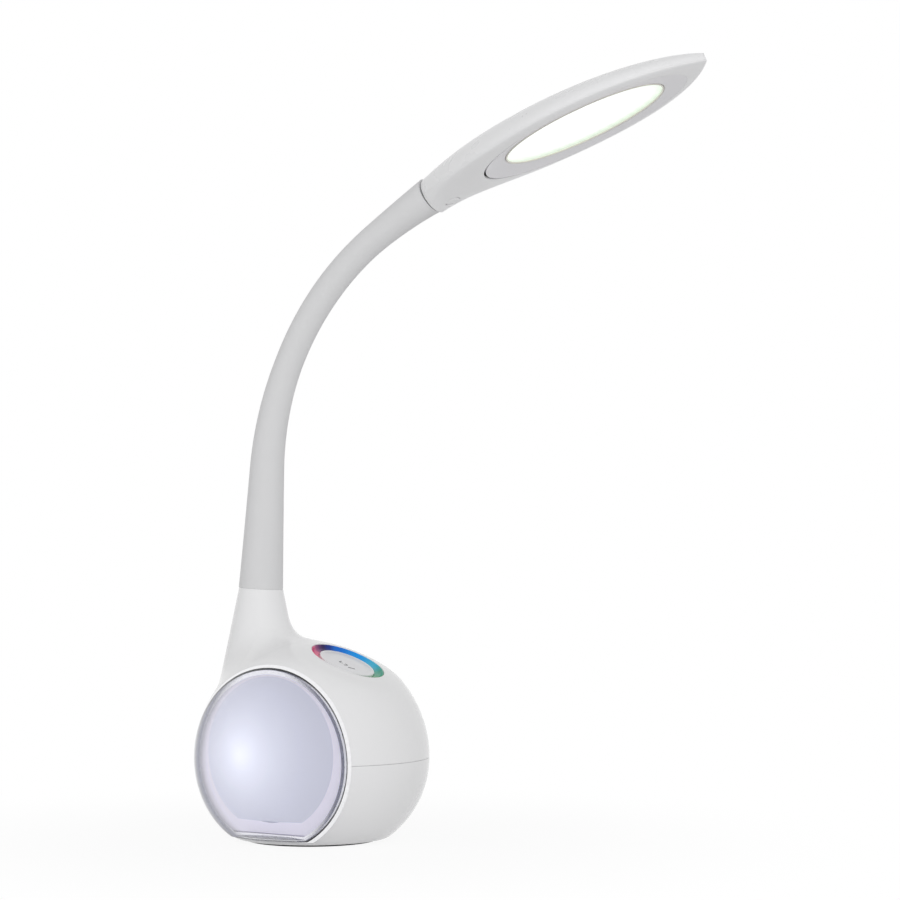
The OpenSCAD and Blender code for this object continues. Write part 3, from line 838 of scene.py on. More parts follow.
@dataclass
class BaseShells:
    """The glossy ball: upper half with the neck's flared socket, and lower half with its floor."""

    wall: float = 2.2
    edge: float = 0.12
    seam_gap: float = 0.08
    neck_x: float = 32.5
    socket_low: float = 15.0
    socket_low_r: float = 25.8
    socket_top: float = 85.7
    socket_top_r: float = 11.35
    fillet: float = 5.0
    fillet_front: float = 10.5
    fillet_fade: float = 22.0
    touch_flat: float = 1.9
    touch_flat_in: float = 19.3
    touch_flat_out: float = 32.0
    touch_cut: float = 54.2
    well_r: float = 19.45
    well_floor: float = 50.8
    pad_r: float = 33.2
    pad_deep: float = 0.6
    dome_step: float = 2.15
    plug_x: float = -53.5
    plug_z: float = -12.9
    plug_r: float = 6.0
    plug_boss_r: float = 8.0
    jack_r: float = 5.2
    lip_in: float = 55.8
    lip_out: float = 57.4
    lip_low: float = -6.0
    lip_high: float = 1.8
    lip_cut: float = 2.4

    @property
    def socket_slope(self) -> float:
        """How much the socket narrows for each unit of height."""
        return (self.socket_low_r - self.socket_top_r) / (self.socket_top - self.socket_low)

    def socket_radius(self, z: float | np.ndarray) -> float | np.ndarray:
        """The socket's radius at a height."""
        return self.socket_low_r - self.socket_slope * (z - self.socket_low)

    def skin_distance(self, p: np.ndarray) -> np.ndarray:
        """Signed distance from the upper skin, with the socket blended into the ball.

        Args:
            p: Points from the ball's centre, one a row.

        Returns:
            The distances.
        """
        axis = np.array([math.sin(TOUCH_TILT), 0.0, math.cos(TOUCH_TILT)])
        up = p @ axis
        off = np.linalg.norm(p - up[:, None] * axis, axis=1)
        t = np.clip((self.touch_flat_out - off) / (self.touch_flat_out - self.touch_flat_in), 0, 1)
        dent = self.touch_flat * t * t * (3 - 2 * t) * (up > 0)
        ball = np.linalg.norm(p, axis=1) - BALL_R + dent
        radius = self.socket_radius(np.maximum(p[:, 2], self.socket_low))
        cone = (np.hypot(p[:, 0] + self.neck_x, p[:, 1]) - radius) / math.hypot(1, self.socket_slope)
        fillet = self.fillet + self.fillet_front * np.clip((p[:, 0] + 48) / 24, 0, 1)
        fillet *= np.clip(p[:, 2] / self.fillet_fade, 0.04, 1)
        share = np.clip(0.5 + 0.5 * (cone - ball) / fillet, 0, 1)
        return cone + (ball - cone) * share - fillet * share * (1 - share)

    def settle(self, bm: Mesh, rounds: int = 12, step: float = 0.01) -> None:
        """Moves each vertex onto the skin along the skin's normal.

        Args:
            bm: The mesh to move.
            rounds: Number of moves.
            step: Distance over which the skin's slope is measured.
        """
        p = np.array([v.co for v in bm.verts])
        for _ in range(rounds):
            value = self.skin_distance(p)
            slope = np.stack(
                [(self.skin_distance(p + step * e) - value) / step for e in np.eye(3)], axis=1
            )
            p -= (value / np.maximum((slope**2).sum(1), 0.2))[:, None] * slope
        for vert, place in zip(bm.verts, p):
            vert.co = place

    def skin_start(self, share_round: float, share_down: float) -> Vector:
        """First guess of the upper skin: rings down the socket, then rings round the ball.

        Args:
            share_round: Share of a turn.
            share_down: Share of the way from the socket's top to below the seam.

        Returns:
            The place.
        """
        turn = 2 * math.pi * share_round
        socket_from, socket_to, ball_from, ball_to = 88.0, 68.0, 50.0, 126.0
        socket_share, bridge_share = 0.12, 0.46
        pole = Vector((-self.neck_x, 0, math.sqrt(BALL_R**2 - self.neck_x**2))).normalized()
        side = Vector((pole.z, 0, -pole.x))

        def socket_ring(z: float) -> Vector:
            """A point on the socket's ring at height z."""
            radius = self.socket_radius(z)
            return Vector((-self.neck_x + radius * math.cos(turn), radius * math.sin(turn), z))

        def ball_ring(degrees: float) -> Vector:
            """A point on the ball's ring at an angle from the pole."""
            flat = math.cos(turn) * side + math.sin(turn) * Vector((0, 1, 0))
            return BALL_R * (math.cos(math.radians(degrees)) * pole + math.sin(math.radians(degrees)) * flat)

        if share_down < socket_share:
            return socket_ring(socket_from + (socket_to - socket_from) * share_down / socket_share)
        if share_down < bridge_share:
            t = (share_down - socket_share) / (bridge_share - socket_share)
            return socket_ring(socket_to).lerp(ball_ring(ball_from), t)
        return ball_ring(ball_from + (ball_to - ball_from) * (share_down - bridge_share) / (1 - bridge_share))

    def touch_well(self, bm: Mesh) -> None:
        """Opens the round well for the touch panel, with a soft lip.

        Args:
            bm: The upper shell's skin.
        """
        axis = Matrix.Rotation(TOUCH_TILT, 4, "Y") @ Vector((0, 0, 1))
        middle, near, reach = axis * 56, 30, 24
        patch = [f for f in bm.faces if (f.calc_center_median() - middle).length < near]
        Workbench.split(bm, patch, axis * self.touch_cut, axis, 1e-4)
        cap = [
            f for f in bm.faces
            if f.calc_center_median().dot(axis) > self.touch_cut
            and (f.calc_center_median() - middle).length < reach
        ]
        bmesh.ops.delete(bm, geom=cap, context="FACES")
        rim = Workbench.open_edges(
            bm, lambda p: abs(p.dot(axis) - self.touch_cut) < 0.02 and (p - axis * 54).length < reach
        )
        r, low = self.well_r, self.well_floor
        lip = [
            (r + 0.55, 54.34), (r + 0.3, 54.4), (r + 0.1, 54.3), (r, 54.05), (r, 52.4), (r, low), (14.0, low),
            (7.0, low), (0.0, low),
        ]
        for radius, height in lip:
            grown = bmesh.ops.extrude_edge_only(bm, edges=rim)["geom"]
            for vert in (g for g in grown if isinstance(g, bmesh.types.BMVert)):
                out = vert.co - axis * vert.co.dot(axis)
                vert.co = axis * height + out.normalized() * radius
            rim = [g for g in grown if isinstance(g, bmesh.types.BMEdge) and g.is_boundary]

    def upper(self) -> None:
        """Makes the upper shell."""
        bm = Workbench.surface(self.skin_start, 160, 96)
        self.settle(bm)
        Workbench.slice_off(bm, (0, 0, self.seam_gap), (0, 0, -1))
        Workbench.slice_off(bm, (0, -DOME_Y, 0), (0, -1, 0))
        neck = Vector((math.cos(NECK.lean), 0, math.sin(NECK.lean)))
        Workbench.slice_off(bm, Vector((-self.neck_x, 0, self.socket_top)) - neck * 0.03, neck)
        self.touch_well(bm)
        Workbench.finish(
            "upper_shell_skin", bm, GLOSS_SHELL, "gloss_shell", Body.BASE, ["upper_shell"],
            BALL, wall=self.wall, edge=self.edge,
        )

    def belly(self) -> Mesh:
        """The lower half with the pad's recess and a cut for the dome above its step.

        Returns:
            The open skin.
        """
        belly = Outline()
        inner = belly.low + self.pad_deep
        first = math.sqrt(belly.arc**2 - self.seam_gap**2) + belly.reach - belly.arc
        outline = [(first, -self.seam_gap)] + [p for p in belly.points(arc_steps=32) if p[1] < -self.seam_gap]
        outline += [(self.pad_r, belly.low), (self.pad_r, inner), (16.0, inner), (0.0, inner)]
        bm = Workbench.turned(outline, steps=160)
        step = belly.low + self.dome_step
        Workbench.split(bm, bm.faces[:], (0, 0, step), (0, 0, 1))
        above = [f for f in bm.faces if f.calc_center_median().z > step]
        Workbench.split(bm, above, (0, -DOME_Y, 0), (0, 1, 0))
        front = [
            f for f in bm.faces if f.calc_center_median().z > step and f.calc_center_median().y < -DOME_Y
        ]
        bmesh.ops.delete(bm, geom=front, context="FACES")
        return bm

    def seam_lip(self) -> Mesh:
        """The lip inside the seam that the upper shell slides over.

        Returns:
            The closed lip.
        """
        inner, outer, low, high = self.lip_in, self.lip_out, self.lip_low, self.lip_high
        outline = [(inner, low), (outer, low), (outer, high), (inner, high), (inner, low)]
        lip = Workbench.turned(outline, steps=160)
        Workbench.slice_off(lip, (0, -DOME_Y + self.lip_cut, 0), (0, -1, 0))
        bmesh.ops.holes_fill(lip, edges=lip.edges, sides=0)
        return lip

    def lower(self) -> None:
        """Makes the lower shell with its floor, the plug recess and the lip inside the seam."""
        along_x = Matrix.Translation((self.plug_x, 0, self.plug_z)) @ Matrix.Rotation(math.pi / 2, 4, "Y")
        boss = Workbench.turned([(0, -4), (self.plug_boss_r, -4), (self.plug_boss_r, 3), (0, 3)], along_x, 64)
        bm = Workbench.carve(self.belly(), boss, add=True, wall=self.wall)
        hole = [(0, -20), (self.plug_r, -20), (self.plug_r, 1), (self.jack_r, 1), (self.jack_r, 8), (0, 8)]
        bm = Workbench.carve(bm, Workbench.turned(hole, along_x, 96))
        Workbench.finish(
            "lower_shell_skin", Workbench.merge([bm, self.seam_lip()]), GLOSS_LOWER, "gloss_shell", Body.BASE,
            ["lower_shell"], BALL, edge=self.edge,
        )

    def build(self) -> None:
        """Makes both shells."""
        self.upper()
        self.lower()


@dataclass
class MoodLight:
    """The clear dome, its bright rim ring and the frosted diffuser with its flange."""

    rim_t: float = 1.8
    rim_w: float = 3.0
    rim_proud: float = 0.2
    rim_back_gap: float = 0.2
    rim_front_gap: float = 0.15
    dome_gap: float = 0.05
    dome_t: float = 1.3
    diffuser_r: float = 38.5
    diffuser_rise: float = 4.0
    diffuser_t: float = 1.8
    bulge: float = 10.0
    diffuser_low: float = -29.0
    lens_sunk: float = 0.6
    lens_lip: float = 0.3
    flange_r: float = 46.2
    flange_in: float = 30.0
    flange_t: float = 1.2
    flange_gap: float = 0.1
    flange_low: float = -35.0

    @staticmethod
    def skin(inset: float, steps: int = 200) -> Mesh:
        """The dome's side of the ball as a turned skin.

        Args:
            inset: How much smaller it is all round.
            steps: Number of faces round the axis.

        Returns:
            The open skin.
        """
        radius = BALL_R - inset
        top = [
            (radius * math.sin(math.radians(a)), radius * math.cos(math.radians(a)))
            for a in np.linspace(20, 90, 49)[:-1]
        ]
        belly = Outline(arc=54.0, corner=1.2, low=-38.6)
        return Workbench.turned(top + belly.points(inset, 40, 6) + [(12.0, belly.low + inset)], steps=steps)

    def shell_between(self, outer: float, inner: float, planes: Sequence[float]) -> Mesh:
        """A closed shell between two skins and one or two planes across Y.

        Args:
            outer: Inset of the outer skin.
            inner: Inset of the inner skin.
            planes: Distances from the ball's centre of the back plane and, unless closed, the front one.

        Returns:
            The closed shell.
        """
        skins = [self.skin(outer), self.skin(inner)]
        for skin in skins:
            for plane, away in zip(planes, (1, -1)):
                Workbench.slice_off(skin, (0, -plane, 0), (0, away, 0))
        bm = Workbench.merge(skins)
        for plane in planes:
            loop = Workbench.open_edges(bm, lambda p: abs(p.y + plane) < 1e-3)
            bmesh.ops.triangle_fill(bm, edges=loop, use_beauty=True, normal=(0, 1, 0))
        return bm

    def dome(self) -> None:
        """Makes the clear dome."""
        bm = self.shell_between(0.0, self.dome_t, [DOME_Y + self.rim_t + self.dome_gap])
        Workbench.finish(
            "clear_dome_cover", bm, CLEAR_DOME, "clear_dome", Body.BASE, ["dome_cover"], BALL, sharp=30
        )

    def rim(self) -> None:
        """Makes the bright ring between the shell and the dome."""
        planes = [DOME_Y + self.rim_back_gap, DOME_Y + self.rim_t - self.rim_front_gap]
        bm = self.shell_between(-self.rim_proud, self.rim_w, planes)
        Workbench.finish(
            "bright_rim_ring", bm, BRIGHT_RIM, "rim_bright", Body.BASE, ["rim_ring"], BALL, sharp=30
        )

    def lens(self) -> Mesh:
        """The crowned frosted lens.

        Returns:
            The whole lens, without its straight lower edge.
        """
        curve = (self.diffuser_r**2 + self.bulge**2) / (2 * self.bulge)
        apex = DOME_Y + self.rim_t - self.lens_sunk + self.bulge
        reach = math.asin(self.diffuser_r / curve)
        outer = [
            (curve * math.sin(reach * i / 40), apex - curve + curve * math.cos(reach * i / 40))
            for i in range(41)
        ]
        edge_r = self.diffuser_r + self.lens_lip
        edge = [(edge_r, outer[-1][1] - 0.8), (edge_r, DOME_Y + 1.0)]
        inner = [(r * 0.97, z - self.diffuser_t) for r, z in reversed(outer)]
        raised = DOME @ Matrix.Translation((0, self.diffuser_rise, 0))
        return Workbench.turned(outer + edge + inner, raised, 160)

    def flange(self) -> Mesh:
        """The flat flange round the lens.

        Returns:
            The whole flange, without its straight lower edge.
        """
        low, inner, outer = DOME_Y + self.flange_gap, self.flange_in, self.flange_r
        high = low + self.flange_t
        outline = [
            (inner, low), (outer, low), (outer, high), (36, high), (33, high), (inner, high), (inner, low)
        ]
        return Workbench.turned(outline, DOME, 160)

    def diffuser(self) -> None:
        """Makes the flange and the lens, each with its straight lower edge."""
        for name, bm, finish, low in (
            ("diffuser_flange", self.flange(), FLANGE_PAINTED_GLOW, self.flange_low),
            ("frosted_diffuser", self.lens(), DIFFUSER_PAINTED_GLOW, self.diffuser_low),
        ):
            Workbench.slice_off(bm, (0, 0, BALL_Z + low), (0, 0, -1))
            bmesh.ops.holes_fill(bm, edges=bm.edges, sides=0)
            Workbench.finish(name, bm, finish, "frosted_lavender", Body.BASE, ["mood_diffuser"])

    def build(self) -> None:
        """Makes the mood light's pieces."""
        self.dome()
        self.rim()
        self.diffuser()


@dataclass
class TouchPanel:
    """The coloured touch channel and the white centre disc with its two signs."""

    ring_r: float = 19.25
    disc_r: float = 14.7
    face: float = 53.3
    floor: float = 51.0
    disc_drop: float = 0.06
    sign_drop: float = 0.05
    sign_t: float = 0.04

    def ring(self) -> None:
        """Makes the concave coloured channel."""
        outline = [
            (15.0, self.floor), (self.ring_r, self.floor), (self.ring_r, 54.2), (19.0, 54.25), (18.75, 54.0),
            (18.45, 53.4), (18.0, 52.8), (17.3, 52.35), (16.4, 52.15), (15.0, 52.1), (15.0, self.floor),
        ]
        bm = Workbench.turned(outline, TOUCH, 160)
        Workbench.finish(
            "touch_channel", bm, self.rainbow(), "touch_colours", Body.BASE, ["touch_ring"], sharp=50
        )

    @staticmethod
    def rainbow() -> TouchRainbow:
        """The ring's colours, by their share of a turn from the back left.

        Returns:
            The finish.
        """
        centre = TOUCH.to_translation() * MM
        stops = [
            (0.0, srgb(70, 20, 90)), (0.03, srgb(120, 28, 100)), (0.07, srgb(205, 45, 110)),
            (0.17, srgb(215, 60, 100)), (0.21, srgb(206, 204, 206)), (0.38, srgb(206, 208, 206)),
            (0.43, srgb(30, 95, 55)), (0.53, srgb(60, 145, 85)), (0.63, srgb(45, 150, 125)),
            (0.71, srgb(70, 175, 205)), (0.8, srgb(20, 145, 220)), (0.9, srgb(15, 105, 200)),
            (0.95, srgb(20, 45, 130)), (0.98, srgb(35, 15, 80)), (1.0, srgb(70, 20, 90)),
        ]
        return TouchRainbow("touch_colours", centre, TOUCH_TILT, stops)

    def disc(self) -> None:
        """Makes the white centre disc with its faint inner line."""
        r, top = self.disc_r, self.face - self.disc_drop
        outline = [
            (0.0, self.floor), (r, self.floor), (r, top - 0.4), (r - 0.15, top - 0.15), (r - 0.45, top),
            (r - 1.1, top), (r - 1.25, top - 0.1), (r - 1.4, top - 0.1), (r - 1.55, top),
            (7.0, top), (0.0, top),
        ]
        bm = Workbench.turned(outline, TOUCH)
        Workbench.finish(
            "touch_centre_disc", bm, TOUCH_WHITE, "touch_white", Body.BASE, ["touch_disc"], sharp=50
        )

    def signs(self) -> None:
        """Makes the printed signs: two small arrow heads and a bar."""
        strokes = [
            ((-1.8, -2.9), (-1.4, -5.3), 0.7), ((-1.4, -5.3), (0.6, -4.6), 0.6),
            ((1.1, -3.0), (2.9, -3.6), 0.6), ((2.9, -3.6), (2.2, -5.9), 0.7), ((4.9, -5.9), (7.3, -2.9), 1.0),
        ]
        parts = []
        for start, end, width in strokes:
            reach = Vector(end) - Vector(start)
            middle = (Vector(start) + Vector(end)) / 2
            bar = bmesh.new()
            bmesh.ops.create_cube(bar, size=1.0)
            bmesh.ops.scale(bar, vec=(reach.length, width, self.sign_t), verts=bar.verts)
            at = Matrix.Translation((middle.x, middle.y, self.face - self.sign_drop))
            turn = Matrix.Rotation(math.atan2(reach.y, reach.x), 4, "Z")
            bmesh.ops.transform(bar, matrix=TOUCH @ at @ turn, verts=bar.verts)
            parts.append(bar)
        Workbench.finish("touch_signs", Workbench.merge(parts), ICON_GREY, "black_parts", Body.BASE)

    def build(self) -> None:
        """Makes the touch panel's pieces."""
        self.ring()
        self.disc()
        self.signs()


@dataclass
class Neck:
    """The silicone sleeve: one tube a joint, each spanning its own joint."""

    joints: int = 9
    first: float = 18.0
    step: float = 25.0
    bore: float = 5.4
    bend_half: float = 10.5
    gap: float = 0.15
    row_step: float = 1.6
    fewest_rows: int = 8

    def joint_s(self, k: int) -> float:
        """Distance along the neck of joint k."""
        return self.first + self.step * (k - 1)

    def span(self, k: int) -> tuple[float, float]:
        """Where the tube across a joint starts and ends.

        Args:
            k: The joint's number.

        Returns:
            Both distances along the neck.
        """
        low = 0.02 if k == 1 else self.joint_s(k) - self.step / 2
        high = NECK.length - self.gap if k == self.joints else self.joint_s(k) + self.step / 2
        return low, high

    def tube(self, k: int) -> Mesh:
        """The closed tube across a joint.

        Args:
            k: The joint's number.

        Returns:
            The tube.
        """
        low, high = self.span(k)
        rows = max(int((high - low) / self.row_step), self.fewest_rows)

        def skin(radius: Callable[[float], float]) -> Mesh:
            """The tube's skin at a radius that may change along the neck."""

            def shape(u: float, v: float) -> Vector:
                """A point of the skin."""
                s = low + (high - low) * v
                return NECK.ring(s, radius(s), 2 * math.pi * u)

            return Workbench.surface(shape, 72, rows)

        bm = Workbench.merge([skin(NECK.radius), skin(lambda _: self.bore)])
        for s in (low, high):
            at, axis = NECK.place(s), Vector((math.cos(NECK.angle(s)), 0, math.sin(NECK.angle(s))))
            loop = Workbench.open_edges(bm, lambda p: abs((p - at).dot(axis)) < 0.05)
            bmesh.ops.bridge_loops(bm, edges=loop)
        return bm

    def build(self) -> None:
        """Makes the nine tubes."""
        for k in range(1, self.joints + 1):
            replaced = ["neck_sleeve_foot"] if k == 1 else [f"neck_sleeve_{k - 1}"]
            if k == self.joints:
                replaced.append("neck_sleeve_head")
            obj = Workbench.finish(f"sleeve_{k}", self.tube(k), SILICONE, "sleeve_silicone", None, replaced)
            s = self.joint_s(k)
            start, end = NECK.place(s - self.bend_half) * MM, NECK.place(s + self.bend_half) * MM
            tuple(start)
            tuple(end)
            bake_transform(obj)


# ---------- the head ----------


@dataclass
class Head:
    """The slim leaf-shaped head: top shell, underside cover, dished frame, window and screw plug."""

    back: float = 91.2
    front: float = 71.0
    crown: float = 16.4
    wall: float = 1.4
    cover_wall: float = 1.2
    cover_gap: float = 0.04
    edge: float = 0.08
    window_a: float = 44.5
    window_b: float = 24.0
    frame_a: float = 57.0
    frame_b: float = 29.5
    opening_slack: Point = (0.65, 0.06)
    root_w: float = 9.3
    root_rise: float = 2.2
    root_tilt: float = math.radians(6.5)
    shoulder: float = -40.0
    tip_over: float = 2.5
    edge_drop: float = 3.4
    window_z: float = -0.9
    plug_s: float = -81.5
    plug_z: float = -5.15
    plug_r: float = 3.7

    def station(self, t: float) -> Point:
        """A point of the head's plan.

        Args:
            t: Share of the plan's curve, from the neck to the tip.

        Returns:
            The distance along the head and the half width there.
        """
        plan = ((-self.back, self.root_w), (-39.0, 38.4), (37.0, 51.0), (self.front, 0.0))
        weights = ((1 - t) ** 3, 3 * t * (1 - t) ** 2, 3 * t * t * (1 - t), t**3)
        return tuple(sum(w * p[i] for w, p in zip(weights, plan)) for i in (0, 1))

    def rear(self, s: float) -> float:
        """0 ahead of the shoulder, growing to 1 at the neck seam."""
        return max(self.shoulder - s, 0.0) / (self.back + self.shoulder)

    def ahead(self, s: float) -> float:
        """0 up to the shoulder, growing to nearly 1 at the tip."""
        return max(s - self.shoulder, 0.0) / (self.front - self.shoulder + self.tip_over)

    def top_height(self, s: float) -> float:
        """Height of the crown above the widest line."""
        if s < self.shoulder:
            return self.crown - (self.crown - self.root_w) * self.rear(s) ** 2
        return self.crown * max(1 - self.ahead(s) ** 2, 0.0) ** 0.56

    def low_height(self, s: float) -> float:
        """Depth of the underside below the widest line."""
        drop = self.edge_drop * max(1 - self.ahead(s) ** 2, 0.0) ** 0.5
        return drop + (self.root_w - self.edge_drop) * self.rear(s) ** 2.9

    def under(self, s: float, y: float) -> float:
        """Height of the underside at a place of the plan.

        Args:
            s: Distance along the head, ahead of the shoulder.
            y: Distance across it.

        Returns:
            The height.
        """
        plan = [self.station(i / 80) for i in range(81)]
        width = float(np.interp(s, [p[0] for p in plan], [p[1] for p in plan]))
        n = self.roundness(s)
        fullness = max(1 - (abs(y) / width) ** n, 0.0) ** (1 / n)
        return self.root_rise * self.rear(s) ** 2 - self.low_height(s) * fullness

    def roundness(self, s: float) -> float:
        """Exponent of the underside's section, 2 for an ellipse."""
        return 2 + 0.7 * (1 - self.rear(s))

    def section(self, s: float, width: float, height: float, angle: float) -> Vector:
        """A point of a section across the head.

        Args:
            s: Distance along the head.
            width: Half width there.
            height: Height above, or depth below, the widest line.
            angle: 0 to pi over the top, 0 to minus pi under the head.

        Returns:
            The point in the head's own frame.
        """
        power = 1.0 if angle >= 0 else 2 / self.roundness(s)
        y = width * math.copysign(abs(math.cos(angle)) ** power, math.cos(angle))
        z = math.copysign(height * abs(math.sin(angle)) ** power, angle)
        lift = self.root_rise * self.rear(s) ** 2
        return Vector((s - z * math.tan(self.root_tilt * self.rear(s)), y, lift + z))

    def skin(self, top: bool) -> Mesh:
        """The open skin of one side of the head, in the head's own frame.

        Args:
            top: True for the top, False for the underside.

        Returns:
            The skin.
        """

        def shape(u: float, v: float) -> Vector:
            """A point of the skin.

            Args:
                u: Share of the way from the neck to the tip.
                v: Share of the way across.

            Returns:
                The point.
            """
            t = 0.992 * (1 - (1 - u) ** 1.35)
            s, width = self.station(t)
            height = self.top_height(s) if top else self.low_height(s)
            angle = math.pi * v if top else -math.pi * v
            return self.section(s, width, height, angle)

        return Workbench.surface(shape, 84, 56)

    def shell(self) -> None:
        """Makes the top shell."""
        bm = self.skin(True)
        tip = Workbench.open_edges(bm, lambda p: p.x > self.front - 3)
        bmesh.ops.holes_fill(bm, edges=tip, sides=0)
        Workbench.finish(
            "head_top_shell", bm, HEAD_GLOSS, "head_gloss", Body.HEAD, ["head_shell"],
            HEAD, wall=self.wall, edge=self.edge,
        )

    def cover(self) -> None:
        """Makes the underside cover with the frame's opening and the screw's bore."""
        bm = self.skin(False)
        bmesh.ops.translate(bm, verts=bm.verts, vec=(0, 0, -self.cover_gap))
        opening = self.oval_prism(
            self.frame_a + self.opening_slack[0], self.frame_b + self.opening_slack[1], -0.6, -9, 6
        )
        bm = Workbench.carve(bm, opening, wall=self.cover_wall)
        bore_r = self.plug_r + 0.25
        bore = [(0, -8), (bore_r, -8), (bore_r, 1.2), (0, 1.2)]
        at = Matrix.Translation((self.plug_s, 0, self.plug_z))
        bm = Workbench.carve(bm, Workbench.turned(bore, at, 64))
        Workbench.finish(
            "head_underside", bm, HEAD_COVER, "head_cover_white", Body.HEAD, ["head_cover"],
            HEAD, edge=self.edge,
        )

    @staticmethod
    def oval_prism(a: float, b: float, shift: float, low: float, high: float) -> Mesh:
        """An upright oval prism.

        Args:
            a, b: Half length and half width.
            shift: Distance of its middle along the head.
            low, high: Its lower and upper faces.

        Returns:
            The prism.
        """
        bm = bmesh.new()
        bmesh.ops.create_cone(bm, cap_ends=True, segments=128, radius1=1, radius2=1, depth=high - low)
        bmesh.ops.scale(bm, vec=(a, b, 1), verts=bm.verts)
        bmesh.ops.translate(bm, vec=(shift, 0, (low + high) / 2), verts=bm.verts)
        return bm

    def oval_ring(self, section: Sequence[Sequence[float]], dish: float | None = None) -> Mesh:
        """A ring whose section follows the oval round.

        Args:
            section: Rows of growth, height and share of the frame's outline over the window's.
            dish: Height at the window of the dish that heights are measured from, or None for level.

        Returns:
            The ring, closed on itself.
        """

        def shape(u: float, v: float) -> Vector:
            """A point of the ring.

            Args:
                u: Share of a turn.
                v: Share of the way round the section.

            Returns:
                The point.
            """
            grow, height, share = section[round(v * (len(section) - 1))]
            turn = 2 * math.pi * u
            a = (self.window_a + grow) * (1 - share) + (self.frame_a + grow) * share
            b = (self.window_b + grow) * (1 - share) + (self.frame_b + grow) * share
            if dish is not None:
                edge = self.under(self.frame_a * math.cos(turn), self.frame_b * math.sin(turn))
                height += dish + (edge - self.cover_gap - dish) * share**1.4
            return Vector((a * math.cos(turn), b * math.sin(turn), height))

        return Workbench.surface(shape, 160, len(section) - 1)

    def light_parts(self) -> None:
        """Makes the dished frame, the thin window rim and the lit milky panel."""
        frame_section = [
            (0, 1.3, 1), (0, 0.12, 1), (-0.12, 0, 1), (0, 0, 0.85), (0, 0, 0.7), (0, 0, 0.5), (0, 0, 0.3),
            (0, 0, 0.15), (0.9, 0, 0), (0.35, 0.1, 0), (0.1, 0.4, 0), (0.1, 2.1, 0), (0.9, 2.1, 0),
            (0.9, 1.1, 0.1), (0, 1.3, 1),
        ]
        Workbench.finish(
            "light_frame_dish", self.oval_ring(frame_section, self.window_z), FRAME_WHITE, "frame_white",
            Body.HEAD, ["light_frame"], HEAD, sharp=45,
        )
        rim_section = [
            (0.0, -0.6, 0), (-0.15, -1.0, 0), (-0.5, -1.1, 0), (-0.85, -0.95, 0), (-0.95, -0.5, 0),
            (-0.95, 0.4, 0), (0.0, 0.4, 0), (0.0, -1.2, 0),
        ]
        Workbench.finish(
            "window_rim_ring", self.oval_ring(rim_section), RIM_CREAM, "rim_cream", Body.HEAD, ["window_rim"],
            HEAD, sharp=45,
        )
        panel = self.oval_prism(self.window_a - 0.7, self.window_b - 0.7, 0, -0.6, 0.9)
        place = Matrix.Translation(HEAD.to_translation() * MM) @ HEAD.to_3x3().to_4x4()
        lit = LitWindow("window_milky", place, self.window_a * MM, self.window_b * MM)
        Workbench.finish(
            "milky_light_panel", panel, lit, "window_milky", Body.HEAD, ["light_panel"], HEAD, edge=0.3
        )

    def plug(self) -> None:
        """Makes the plug over the head's rear screw, with a shallow dish."""
        at = HEAD @ Matrix.Translation((self.plug_s, 0, self.plug_z))
        r = self.plug_r
        outline = [
            (0, 0.8), (r, 0.8), (r, 0.15), (r - 0.15, 0), (r - 0.5, 0), (2.2, 0.12), (1.1, 0.2), (0, 0.22)
        ]
        bm = Workbench.turned(outline, at, 64)
        Workbench.finish("rear_screw_plug", bm, HEAD_COVER, "head_cover_white", Body.HEAD, ["screw_plug"])

    def build(self) -> None:
        """Makes the head's pieces."""
        self.shell()
        self.cover()
        self.light_parts()
        self.plug()


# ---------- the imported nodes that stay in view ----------


class InnerParts:
    """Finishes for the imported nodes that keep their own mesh."""

    @staticmethod
    def finishes() -> list[tuple[Finish, list[str]]]:
        """Chooses the hidden parts' finishes.

        Returns:
            Each finish with the nodes that wear it.
        """
        cores = ["neck_core_foot", "neck_core_head", "neck_clamp"] + [f"neck_core_{k}" for k in range(1, 9)]
        weight = Moulded("weight_iron", srgb(92, 94, 98), 0.6, 0.25, 0.15, 350.0, 0.0002)
        reflector = Moulded("white_inner", srgb(228, 225, 238), 0.4, 0.01, 0.05, 400.0, 0.00001)
        return [
            (RUBBER, ["base_pad"]),
            (Metal("screw_steel", srgb(168, 170, 176), 0.32), [
                "shell_screws", "board_screws", "head_screws", "neck_washer"]),
            (weight, ["counterweight"]),
            (CircuitBoard("circuit_board"), ["main_board", "mood_board", "touch_board"]),
            (CircuitBoard("board_white", srgb(232, 233, 230), srgb(206, 208, 204)), ["led_board"]),
            (Moulded("black_parts", srgb(38, 38, 41), 0.4, 0.2, 0.1, 900.0, 0.00002), [
                "main_board_parts", "dc_jack"]),
            (Moulded("nylon", srgb(226, 222, 208), 0.45, 0.04, 0.05), ["board_spacers"]),
            (Moulded("lead_jacket", srgb(58, 58, 62), 0.5, 0.1, 0.05), ["base_leads", "head_leads"]),
            (Metal("jack_pin", srgb(205, 206, 210), 0.2), ["dc_jack_pin"]),
            (reflector, ["mood_reflector", "led_tray"]),
            (Moulded("led_lens", srgb(240, 236, 204), 0.2, 0.03, 0.04, 900.0, 0.00001, 0.5), [
                "mood_leds", "led_chips"]),
            (Metal("brass_nut", srgb(196, 158, 88), 0.28), ["neck_nut"]),
            (Metal("core_steel", srgb(178, 180, 184), 0.3), cores),
            (Metal("spreader_alu", srgb(200, 202, 206), 0.35, 900.0, (8, 1, 1)), ["heat_spreader"]),
        ]

    def build(self) -> None:
        """Gives each node its finish."""
        for finish, names in self.finishes():
            material = Workbench.paint(finish)
            for name in names:
                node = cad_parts[name]
                if not node.data.materials:
                    node.data.materials.append(material)
                for place in node.material_slots:
                    place.material = material
                LOG.info("%s: %s", name, material.name)


# ---------- the studio ----------


